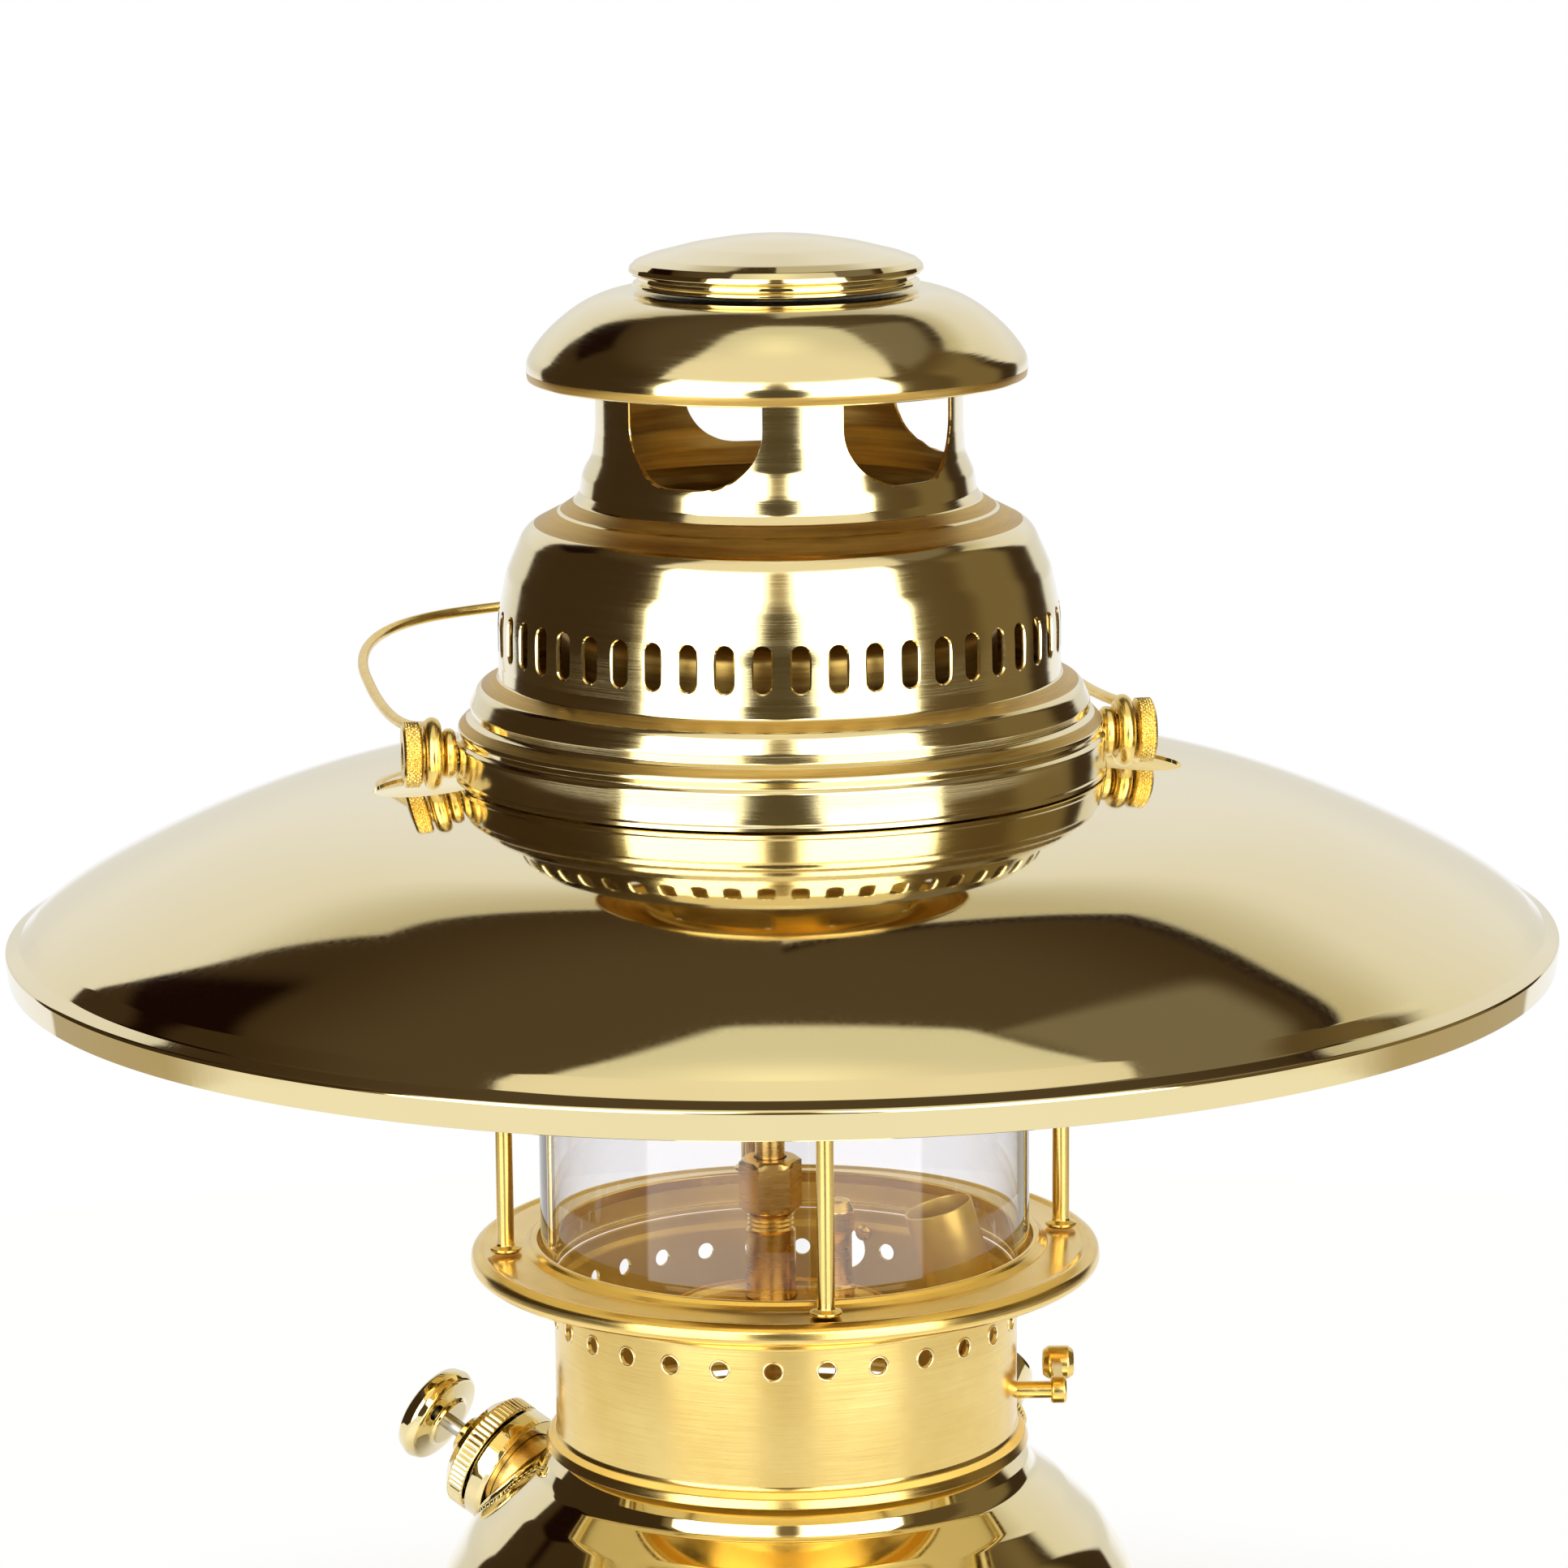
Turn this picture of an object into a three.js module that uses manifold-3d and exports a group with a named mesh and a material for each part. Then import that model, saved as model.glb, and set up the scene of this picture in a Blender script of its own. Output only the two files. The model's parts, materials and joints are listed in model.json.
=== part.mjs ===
// Brass pressure lantern for ship and farm use, with a wide top shade.
// Millimetres, +Z up, origin on the lantern's axis at the level of the ground.
// The rods stand at +X, -X, +Y and -Y, and the bail swings about the X direction.
import * as THREE from 'three';
import { mergeVertices } from 'three/addons/utils/BufferGeometryUtils.js';
import Module from 'manifold-3d';

const wasm = await Module();
wasm.setup();

// Driving dimensions
const SHADE_R = 180;          // widest radius of the lantern
const RIM_Z = 235;            // height of the shade's rim
const TANK_R = 85;
const DECK_Z = 117;           // top of the tank, where the burner stands
const SKIRT_R = 54.5;
const GALLERY_R = 74;
const SHELF_Z = 165;          // gallery shelf that carries the rods
const ROD_CIRCLE_R = 66;
const ROD_D = 4;
const GLASS_R = 57.5;
const GLASS_WALL = 2.6;
const HOOD_R = 75.5;          // lower band of the hood
const HOOD_Z = 278.3;         // lower edge of the hood
const PIVOT_Z = 284.4;        // axis of the bail and the thumb nuts
const NECK_R = 42.6;
const CAP_R = 57.5;
const CAP_Z = 369.6;          // rim of the mushroom cap
const SHEET = 1.0;            // thickness of the pressed brass
const GAP = 0.3;              // clearance between neighbouring pieces
const VAPOUR_Y = 25;          // the vaporizer stands behind the mantle
const WIRE_R = 1.3;           // bail wire
const EYE_X = 80.75;          // middle of the bail's eyes
const EYE_R = 6.5;
const EYE_WIRE_R = 2;         // the eyes are upset thicker than the wire
const NUT_OPENING_X = 81.5;   // openings in the shade under the thumb nuts
const NUT_OPENING_R = 13;
const BAIL_LEAN = 4;          // degrees that the folded bail rises towards its back
const SLOTS = 48;
const WINDOWS = 5;
const SKIRT_HOLES = 27;
const MATCH_HOLE_AZ = 66;     // azimuth of the one large hole in the skirt
const GLASS_TOP_Z = 262;
const ROD_TOP_Z = 276.2;      // the upper ring rests on the rods
const JET_Z = 291;            // top of the vaporizer, where the jet nipple sits

// Derived places
const GLASS_Z = SHELF_Z - 5.2;
const BLOCK_TOP_Z = SHELF_Z + 0.9;
const GLAND_TOP_Z = SHELF_Z + 14.2;
const SPINDLE_Z = DECK_Z + 13;
const NOZZLE_Z = RIM_Z + 9;
const LEVER_Z = SPINDLE_Z - 2;
const TRAY_Z = SPINDLE_Z + 13.6;
const MANTLE_Z = RIM_Z - 44;
const FLAT_SEGMENTS = 32;
const SHADE_SEGMENTS = 40;

const brass = { color: 0xd6a94a, roughness: 0.12, metalness: 1 };
const rawBrass = { color: 0xb98a3a, roughness: 0.4, metalness: 1 };
const steel = { color: 0x9a9a98, roughness: 0.35, metalness: 1 };
const lantern = new THREE.Group();

const rad = THREE.MathUtils.degToRad;
const point = (x, y) => new THREE.Vector2(x, y);

// ---------- solids ----------

function toSolid(geometry) {
  const plain = geometry.clone();
  plain.deleteAttribute('normal');
  plain.deleteAttribute('uv');
  const merged = mergeVertices(plain, 1e-4);
  return new wasm.Manifold(new wasm.Mesh({
    numProp: 3,
    vertProperties: new Float32Array(merged.attributes.position.array),
    triVerts: new Uint32Array(merged.index.array),
  }));
}

function toGeometry(solid) {
  const mesh = solid.getMesh();
  const geometry = new THREE.BufferGeometry();
  geometry.setAttribute('position', new THREE.BufferAttribute(mesh.vertProperties, 3));
  geometry.setIndex(new THREE.BufferAttribute(mesh.triVerts, 1));
  return geometry;
}

function cut(geometry, cutters) {
  let solid = toSolid(geometry);
  for (const cutter of cutters) {
    solid = solid.subtract(toSolid(cutter));
  }
  return toGeometry(solid);
}

function join(geometry, others) {
  let solid = toSolid(geometry);
  for (const other of others) {
    solid = solid.add(toSolid(other));
  }
  return toGeometry(solid);
}

// Round piece about Z from [radius, height] pairs, closed on itself unless it starts and ends at radius 0.
function turned(outline, segments = 14) {
  const profile = outline.map(([r, z]) => point(r, z));
  const onAxis = outline[0][0] === 0 && outline[outline.length - 1][0] === 0;
  if (!onAxis) {
    profile.push(profile[0].clone());
  }
  const area = THREE.ShapeUtils.area(profile);
  if (area < 0) {
    profile.reverse();
  }
  const geometry = new THREE.LatheGeometry(profile, segments);
  geometry.rotateX(Math.PI / 2);
  return geometry;
}

// Pressed sheet: the outer line, walked so that the metal lies on its left, then that line moved left
// by the thickness and walked back.
function sheet(outer, thickness = SHEET) {
  const inner = outer.map(([r, z], i) => {
    const before = outer[Math.max(i - 1, 0)];
    const after = outer[Math.min(i + 1, outer.length - 1)];
    const run = point(after[0] - before[0], after[1] - before[1]).normalize();
    return [Math.max(r - run.y * thickness, 0), z + run.x * thickness];
  });
  return outer.concat(inner.reverse());
}

// Cylinder about Z.
function disc(radius, bottom, top, segments = 12) {
  return turned([[0, bottom], [radius, bottom], [radius, top], [0, top]], segments);
}

// Cylinder about Z with a bore.
function ring(outer, inner, bottom, top, segments = 14) {
  return turned([[inner, bottom], [outer, bottom], [outer, top], [inner, top]], segments);
}

// Knob with bevelled edges.
function bevelled(radius, bottom, top, bevel, bore = 0, segments = 14) {
  return turned([
    [bore, bottom], [radius - bevel, bottom], [radius, bottom + bevel],
    [radius, top - bevel], [radius - bevel, top], [bore, top],
  ], segments);
}

function hexagon(acrossCorners, bottom, top, bore) {
  return ring(acrossCorners / 2, bore, bottom, top, 6);
}

// Curve through given points, with one step from each point to the next.
class StepPath extends THREE.Curve {
  constructor(points) {
    super();
    this.points = points;
  }

  getPoint(t, target = new THREE.Vector3()) {
    const place = t * (this.points.length - 1);
    const i = Math.min(Math.floor(place), this.points.length - 2);
    return target.lerpVectors(this.points[i], this.points[i + 1], place - i);
  }

  getPointAt(t, target) {
    return this.getPoint(t, target);
  }

  getTangent(t, target = new THREE.Vector3()) {
    const i = Math.round(t * (this.points.length - 1));
    const before = this.points[Math.max(i - 1, 0)];
    const after = this.points[Math.min(i + 1, this.points.length - 1)];
    return target.subVectors(after, before).normalize();
  }

  getTangentAt(t, target) {
    return this.getTangent(t, target);
  }
}

function polygon(radius, sides) {
  const corners = [];
  for (let i = 0; i < sides; i += 1) {
    const angle = i / sides * 2 * Math.PI;
    corners.push(point(radius * Math.cos(angle), radius * Math.sin(angle)));
  }
  return corners;
}

// Wire along a line of points, or pipe when it has a bore.
function tube(points, radius, bore = 0, sides = 6) {
  const shape = new THREE.Shape(polygon(radius, sides));
  if (bore > 0) {
    shape.holes.push(new THREE.Path(polygon(bore, sides).reverse()));
  }
  const extrudePath = new StepPath(points);
  const steps = points.length - 1;
  return new THREE.ExtrudeGeometry(shape, { steps, extrudePath, bevelEnabled: false });
}

// ---------- placing ----------

function add(parent, name, geometry, look, position = [0, 0, 0], turn = [0, 0, 0]) {
  const mesh = new THREE.Mesh(geometry, new THREE.MeshStandardMaterial(look));
  mesh.name = name;
  mesh.position.set(...position);
  mesh.rotation.set(...turn.map(rad));
  parent.add(mesh);
  return mesh;
}

function groupAt(position, turn = [0, 0, 0], order = 'XYZ') {
  const group = new THREE.Group();
  group.position.set(...position);
  group.rotation.set(...turn.map(rad), order);
  lantern.add(group);
  return group;
}

// Bar along a direction in the horizontal plane, for cutting holes in round walls.
function radialBar(radius, from, to, azimuth, z, sides = 12) {
  const bar = disc(radius, from, to, sides);
  bar.rotateY(Math.PI / 2);
  bar.rotateZ(rad(azimuth));
  bar.translate(0, 0, z);
  return bar;
}

// ---------- tank ----------

const FILLER_AZ = 50;
const FILLER_TILT = 45;
const FILLER_SEAT = 73;       // radius of the filler neck's foot on the shoulder
const FILLER_SEAT_Z = 98;
const PUMP_AZ = 140;
const PUMP_RISE = 25;         // degrees above level
const PUMP_SEAT = 76;
const PUMP_SEAT_Z = 95;
const LEVER_AZ = -8;          // azimuth of the preheater and its lever

const fillerGroup = groupAt(
  [FILLER_SEAT * Math.cos(rad(FILLER_AZ)), FILLER_SEAT * Math.sin(rad(FILLER_AZ)), FILLER_SEAT_Z],
  [0, FILLER_TILT, FILLER_AZ], 'ZYX',
);
const pumpGroup = groupAt(
  [PUMP_SEAT * Math.cos(rad(PUMP_AZ)), PUMP_SEAT * Math.sin(rad(PUMP_AZ)), PUMP_SEAT_Z],
  [0, 90 - PUMP_RISE, PUMP_AZ], 'ZYX',
);

function placed(geometry, group) {
  group.updateMatrixWorld(true);
  return geometry.applyMatrix4(group.matrixWorld);
}

const TANK_OUTER = [
  [0, 9.5], [76, 7], [81.5, 9], [84, 16], [TANK_R, 30], [TANK_R, 66], [81, 86], [75, 96], [67, 104],
  [56, 113.5], [53, DECK_Z], [0, DECK_Z],
];
const TANK_INNER = [
  [0, 11], [76, 8.6], [80.5, 11], [TANK_R - 1.5, 30], [TANK_R - 1.5, 66], [79.6, 85.4], [73.9, 94.9],
  [66, 102.8], [54, DECK_Z - 3.5], [0, DECK_Z - 1.5],
];

function tankShell() {
  return cut(turned(TANK_OUTER, FLAT_SEGMENTS), [
    turned(TANK_INNER, FLAT_SEGMENTS),
    placed(disc(13.9, -20, 12), fillerGroup),
    placed(disc(11.9, -40, 30), pumpGroup),
    disc(3.6, DECK_Z - 5, DECK_Z + 5, 12).translate(0, VAPOUR_Y, 0),
  ]);
}

function tankParts() {
  add(lantern, 'tank_shell', tankShell(), brass);
  add(lantern, 'tank_foot_ring', turned([
    [75, 0], [83, 0], [84.6, 1.6], [84.6, 4], [82.5, 6.4], [75, 6],
  ], FLAT_SEGMENTS), brass);
  const pickupTop = DECK_Z + 1.5;
  const pickupFoot = 14;
  add(lantern, 'pickup_tube', ring(3.2, 1.9, pickupFoot, pickupTop, 12), rawBrass, [0, VAPOUR_Y, 0]);
}

function fillerParts() {
  const neckFoot = -12;
  add(fillerGroup, 'filler_neck', ring(13.1, 11.2, neckFoot, 7), brass);
  const rubber = { color: 0x222222, roughness: 0.8, metalness: 0 };
  add(fillerGroup, 'filler_gasket', ring(13.1, 9.5, 7.2, 8.8), rubber);
  const cap = turned([
    [13.6, 2.2], [17, 2.2], [18, 3.2], [18, 11], [16.6, 12.4], [9.4, 12.4], [9.4, 9], [13.6, 9],
  ]);
  add(fillerGroup, 'filler_cap', cap, brass);
  const gauge = turned([
    [0, 12.8], [14.5, 12.8], [15.5, 14], [15.5, 22.5], [14.6, 23.4], [13.2, 23.4], [13.2, 16.4], [0, 16.4],
  ]);
  add(fillerGroup, 'gauge_body', gauge, brass);
  add(fillerGroup, 'gauge_dial', disc(12.4, 16.7, 17.3), { color: 0xf4f1e6, roughness: 0.5, metalness: 0 });
  const needle = new THREE.BoxGeometry(10.5, 0.9, 0.5);
  needle.translate(2.6, 0, 18.6);
  const hub = disc(1.5, 18.2, 19.4, 8);
  add(fillerGroup, 'gauge_needle', join(needle, [hub]), { color: 0x1a1a1a, roughness: 0.4, metalness: 0 });
  const clear = { color: 0xe8eef0, roughness: 0.05, metalness: 0 };
  add(fillerGroup, 'gauge_glass', disc(12.4, 21.2, 22.6), clear);
  const bleed = turned([[0, 18.4], [1.8, 18.4], [1.8, 19.8], [3.6, 19.8], [3.6, 23.6], [0, 23.6]], 12);
  bleed.rotateY(Math.PI / 2);
  bleed.translate(0, 0, 6.8);
  add(fillerGroup, 'bleed_screw', bleed, rawBrass);
}

function pumpParts() {
  const length = 96;
  const rodR = 2;
  const cupTop = -65.5;
  add(pumpGroup, 'pump_barrel', turned([
    [0, -length], [11, -length], [11, 7], [9.8, 7], [9.8, 1 - length], [0, 1 - length],
  ]), rawBrass);
  add(pumpGroup, 'pump_collar', ring(15, 11.3, 1.5, 6.6), brass);
  add(pumpGroup, 'pump_cap', turned([
    [2.6, 7.4], [15, 7.4], [15, 12], [12.6, 14.4], [6, 15.6], [5.2, 19], [2.6, 19],
  ]), brass);
  add(pumpGroup, 'pump_rod', disc(rodR, cupTop + 0.4, 23.4, 16), steel);
  add(pumpGroup, 'pump_cup', turned([
    [0, cupTop - 8.6], [9.2, cupTop - 8.6], [9.2, cupTop], [0, cupTop],
  ]), { color: 0x4a2f1b, roughness: 0.8, metalness: 0 });
  add(pumpGroup, 'pump_knob', turned([
    [0, 23.8], [6.5, 23.8], [11.5, 25.6], [12.5, 28], [11.8, 31], [8, 33], [0, 33.6],
  ]), brass);
  add(pumpGroup, 'pump_valve', turned([
    [0, 1.4 - length], [5.5, 1.4 - length], [5.5, 9 - length], [2.2, 12 - length], [0, 12 - length],
  ], 12), rawBrass);
}

// ---------- gallery and frame ----------

function galleryRing() {
  return turned([
    [55.2, SHELF_Z - 6.6], [59.2, SHELF_Z - 6.6], [59.6, SHELF_Z], [70.6, SHELF_Z - 1], [71.8, SHELF_Z - 4.6],
    [GALLERY_R, SHELF_Z - 3], [71.2, SHELF_Z + 0.4], [60.6, SHELF_Z + 1.1], [58.2, SHELF_Z + 2.1],
    [58, SHELF_Z - 5.5], [55.2, SHELF_Z - 5.5],
  ], FLAT_SEGMENTS);
}

// Perforated basket between the tank and the gallery; one hole is large, to put a match through.
function gallerySkirt() {
  const wall = SHEET;
  const top = SHELF_Z - 6.9;
  const holeZ = SHELF_Z - 16;
  const shell = turned([
    [SKIRT_R - wall, DECK_Z + 0.6], [SKIRT_R + 2.6, DECK_Z + 0.6], [SKIRT_R, DECK_Z + 4], [SKIRT_R, top - 3],
    [SKIRT_R + 1, top - 1], [SKIRT_R + 1, top], [SKIRT_R - wall, top],
  ], 28);
  const step = 12.95;         // degrees between small holes
  const first = MATCH_HOLE_AZ + (360 - (SKIRT_HOLES - 1) * step) / 2;
  const [inside, outside] = [SKIRT_R - 8, SKIRT_R + 6];
  const cutters = [radialBar(5.1, inside, outside, MATCH_HOLE_AZ, holeZ)];
  for (let k = 0; k < SKIRT_HOLES; k += 1) {
    cutters.push(radialBar(2.05, inside, outside, first + k * step, holeZ, 6));
  }
  cutters.push(radialBar(3.1, inside, outside, 90, SPINDLE_Z));
  cutters.push(radialBar(2.5, inside, outside, LEVER_AZ, LEVER_Z));
  return cut(shell, cutters);
}

function frameParts() {
  add(lantern, 'gallery_ring', galleryRing(), brass);
  add(lantern, 'gallery_skirt', gallerySkirt(), brass);
  const washerR = 3.7;
  const rod = turned([
    [0, SHELF_Z + 1.2], [washerR, SHELF_Z + 1.2], [washerR, SHELF_Z + 1.9], [ROD_D / 2, SHELF_Z + 2.2],
    [ROD_D / 2, ROD_TOP_Z], [0, ROD_TOP_Z],
  ], 16);
  const names = ['right', 'back', 'left', 'front'];
  names.forEach((side, i) => {
    const angle = i * Math.PI / 2;
    const foot = [ROD_CIRCLE_R * Math.cos(angle), ROD_CIRCLE_R * Math.sin(angle), 0];
    add(lantern, `rod_${side}`, rod, brass, foot);
  });
  const flange = ROD_TOP_Z + 0.2;
  const collar = HOOD_Z + 11.7;
  add(lantern, 'upper_ring', turned([
    [57.2, flange], [68.6, flange], [68.6, flange + 0.7], [59.2, flange + 0.7], [58.4, flange + 2.6],
    [58.4, collar], [57.2, collar],
  ], FLAT_SEGMENTS), brass);
  add(lantern, 'glass', ring(GLASS_R, GLASS_R - GLASS_WALL, GLASS_Z, GLASS_TOP_Z, FLAT_SEGMENTS), {
    color: 0xe6e4ec, roughness: 0.03, metalness: 0,
  });
  const screwAzimuth = 60;
  const screw = radialBar(2, SKIRT_R - 4.5, SKIRT_R - 1.9, screwAzimuth, SHELF_Z - 11);
  add(lantern, 'gallery_screw', screw, brass);
}

// ---------- shade ----------

// Nearly flat under the hood, then steeper towards the rim.
function shadeParts() {
  const dish = turned(sheet([
    [SHADE_R, RIM_Z], [179.4, RIM_Z + 6.6], [170, RIM_Z + 13.6], [160, RIM_Z + 19.4], [148, RIM_Z + 25.6],
    [135, RIM_Z + 30.9], [120, RIM_Z + 36.5], [110, RIM_Z + 38.9], [84, RIM_Z + 42.4], [60.8, RIM_Z + 43.9],
  ]), SHADE_SEGMENTS);
  // A round opening under each thumb nut makes room for the bail's eye and for fingers.
  const openings = [-1, 1].map((side) => {
    return disc(NUT_OPENING_R, RIM_Z, HOOD_Z + 10, 24).translate(side * NUT_OPENING_X, 0, 0);
  });
  add(lantern, 'shade', cut(dish, openings), brass);
}

// ---------- hood ----------

const HOOD_OUTER = [
  [HOOD_R, HOOD_Z], [HOOD_R, 286.4], [73.2, 288], [75, 290], [72.2, 292.4], [70.6, 299.6], [65.3, 302],
  [64.9, 313], [62, 329], [55.7, 337], [45.6, 343.4], [NECK_R, 356], [NECK_R, 384.5],
];

// Bar with the section of the shape, running outwards from the given radius.
function outwards(shape, from, depth, curveSegments, azimuth, z) {
  const bar = new THREE.ExtrudeGeometry(shape, { depth, bevelEnabled: false, curveSegments });
  bar.rotateX(Math.PI / 2);
  bar.rotateZ(Math.PI / 2);
  bar.translate(from, 0, z);
  bar.rotateZ(rad(azimuth));
  return bar;
}

function slotCutter(azimuth, z) {
  const width = 4;
  const height = 10.5;
  const half = (height - width) / 2;
  const shape = new THREE.Shape();
  shape.absarc(0, half, width / 2, 0, Math.PI, false);
  shape.absarc(0, -half, width / 2, Math.PI, 2 * Math.PI, false);
  return outwards(shape, 58, 10, 3, azimuth, z);
}

function windowCutter(azimuth) {
  const halfWidth = 16.6;
  const bottom = CAP_Z - 20.2;
  const top = CAP_Z + 7.4;
  const corner = 14;
  const shape = new THREE.Shape();
  shape.moveTo(halfWidth, top);
  shape.lineTo(-halfWidth, top);
  shape.lineTo(-halfWidth, bottom + corner);
  shape.absarc(corner - halfWidth, bottom + corner, corner, Math.PI, 1.5 * Math.PI, false);
  shape.absarc(halfWidth - corner, bottom + corner, corner, 1.5 * Math.PI, 2 * Math.PI, false);
  return outwards(shape, 25, 30, 4, azimuth, 0);
}

function hoodBody() {
  const slotZ = HOOD_Z + 34.1;
  const cutters = [];
  for (let k = 0; k < SLOTS; k += 1) {
    cutters.push(slotCutter((k + 0.5) * 360 / SLOTS, slotZ));
  }
  for (let k = 0; k < WINDOWS; k += 1) {
    cutters.push(windowCutter(-90 + (k + 0.5) * 360 / WINDOWS));
  }
  // Open notches let the hood drop over the studs from above.
  const notchTop = PIVOT_Z + 2.7;
  const notchBottom = HOOD_Z - 2;
  for (const side of [-1, 1]) {
    const notch = new THREE.BoxGeometry(20, 5.4, notchTop - notchBottom);
    notch.translate(side * 74, 0, (notchTop + notchBottom) / 2);
    cutters.push(notch);
  }
  return cut(turned(sheet(HOOD_OUTER), SLOTS), cutters);
}

function hoodParts() {
  add(lantern, 'hood_body', hoodBody(), brass);
  add(lantern, 'mushroom_cap', turned(sheet([
    [CAP_R, CAP_Z], [CAP_R, CAP_Z + 3.4], [55, CAP_Z + 8], [50, CAP_Z + 13.3], [42, CAP_Z + 18.6],
    [36, CAP_Z + 20.2], [4.4, CAP_Z + 20.8],
  ]), FLAT_SEGMENTS), brass);
  const button = CAP_Z + 21.2;
  add(lantern, 'cap_button', turned([
    [0, button], [32.8, button], [32.8, button + 0.9], [31.4, button + 1.4], [31.4, button + 2.8],
    [33.6, button + 3.1], [33.8, button + 3.7], [31.8, button + 5.6], [28, button + 7.5],
    [20, button + 9.7], [10, button + 11.1], [0, button + 11.5],
  ], FLAT_SEGMENTS), brass);
  add(lantern, 'cap_nut', disc(3.8, button - 6.8, button - 0.3), rawBrass);
}

// ---------- trunnions, thumb nuts and bail ----------

function trunnion() {
  const inner = 58.7;
  const collar = HOOD_R + GAP;
  const shoulder = 78.4;
  const sleeve = 83.1;
  const outer = 87.2;
  const stud = turned([
    [0, inner], [2.2, inner], [2.2, collar], [5.1, collar], [5.8, collar + 0.7], [5.8, shoulder - 0.7],
    [5.1, shoulder], [3.9, shoulder], [3.9, sleeve], [2.2, sleeve], [2.2, outer - 0.4], [0, outer],
  ], 16);
  stud.rotateY(Math.PI / 2);
  return stud;
}

function thumbNut() {
  const nut = bevelled(7.6, 83.4, 87.7, 0.5, 2.5, 20);
  nut.rotateY(Math.PI / 2);
  return nut;
}

// The wire lies in a tilted plane: across is along X, away is from the pivots towards the back.
// One leg is sprung outwards and the other inwards, as a used bail sits.
function bailPoints() {
  const lean = rad(BAIL_LEAN);
  const onPlane = (across, away, height = 0) => new THREE.Vector3(
    across,
    away * Math.cos(lean) - height * Math.sin(lean),
    PIVOT_Z + away * Math.sin(lean) + height * Math.cos(lean),
  );
  const corners = {
    left: onPlane(-90.4, 72), leftShoulder: onPlane(-65, 140.5),
    rightShoulder: onPlane(50, 146), right: onPlane(76.8, 88),
  };
  const stretch = (from, first, second, to, steps) => {
    return new THREE.CubicBezierCurve3(from, first, second, to).getPoints(steps).slice(1);
  };
  const start = onPlane(-EYE_X, 1, EYE_R);
  const end = onPlane(EYE_X, 1, EYE_R);
  return [
    start,
    ...stretch(start, onPlane(-81.5, 12, 4), onPlane(-88.6, 14), corners.left, 6),
    ...stretch(corners.left, onPlane(-92, 105), onPlane(-85, 130), corners.leftShoulder, 8),
    ...stretch(corners.leftShoulder, onPlane(-30, 158), onPlane(20, 162), corners.rightShoulder, 6),
    ...stretch(corners.rightShoulder, onPlane(70, 139), onPlane(76.8, 116), corners.right, 7),
    ...stretch(corners.right, onPlane(76.8, 50), onPlane(77.4, 14, 5), end, 5),
  ];
}

function bailEye(side) {
  const eye = new THREE.TorusGeometry(EYE_R, EYE_WIRE_R, 8, 20);
  eye.rotateY(Math.PI / 2);
  eye.translate(side * EYE_X, 0, PIVOT_Z);
  return eye;
}

function bailParts() {
  for (const [side, angle] of [['right', 0], ['left', 180]]) {
    add(lantern, `trunnion_${side}`, trunnion(), rawBrass, [0, 0, PIVOT_Z], [0, 0, angle]);
    add(lantern, `thumb_nut_${side}`, thumbNut(), rawBrass, [0, 0, PIVOT_Z], [0, 0, angle]);
  }
  add(lantern, 'bail', join(tube(bailPoints(), WIRE_R), [bailEye(-1), bailEye(1)]), brass);
}

// ---------- burner ----------

function burnerParts() {
  const spindleBore = disc(2.9, 0, 20);
  spindleBore.rotateX(-Math.PI / 2);
  spindleBore.translate(0, 0, SPINDLE_Z);
  const block = turned([
    [2, DECK_Z + 1.8], [8, DECK_Z + 1.8], [8, DECK_Z + 5], [6, DECK_Z + 6],
    [6, BLOCK_TOP_Z], [2, BLOCK_TOP_Z],
  ]);
  const at = [0, VAPOUR_Y, 0];
  add(lantern, 'valve_block', cut(block, [spindleBore]), rawBrass, at);
  add(lantern, 'gland_nut', hexagon(15.3, BLOCK_TOP_Z + GAP, GLAND_TOP_Z, 4.4), rawBrass, at);
  add(lantern, 'vaporizer_tube', ring(3.6, 1.9, BLOCK_TOP_Z + GAP, JET_Z, 16), rawBrass, at);
  add(lantern, 'jet_nipple', turned([
    [1.2, JET_Z + GAP], [4.4, JET_Z + GAP], [4.4, JET_Z + 3], [2.6, JET_Z + 6], [1.2, JET_Z + 6],
  ], 16), rawBrass, at);
  add(lantern, 'needle_rod', disc(0.8, SPINDLE_Z + 3.3, JET_Z + 2, 8), steel, at);
}

function controlParts() {
  const along = (geometry) => geometry.rotateX(-Math.PI / 2);
  const at = [0, VAPOUR_Y, SPINDLE_Z];
  add(lantern, 'control_spindle', along(disc(2.4, 0.5, 36, 16)), rawBrass, at);
  add(lantern, 'spindle_gland', along(hexagon(13, 8.4, 14.4, 3.1)), rawBrass, at);
  const wheel = turned([
    [2.7, 33.4], [5, 33.4], [5, 36.6], [11, 36.6], [11, 34.8], [14, 34.8], [15, 35.8], [15, 40.2], [14, 41.2],
    [11, 41.2], [11, 39.2], [5, 39.2], [5, 41.6], [2.7, 41.6],
  ], 20);
  add(lantern, 'control_wheel', along(wheel), brass, at);
  add(lantern, 'wheel_screw', along(turned([
    [0, 36.4], [2.3, 36.4], [2.3, 41.9], [4.2, 41.9], [3.4, 43.4], [0, 43.9],
  ], 16)), steel, at);
}

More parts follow.
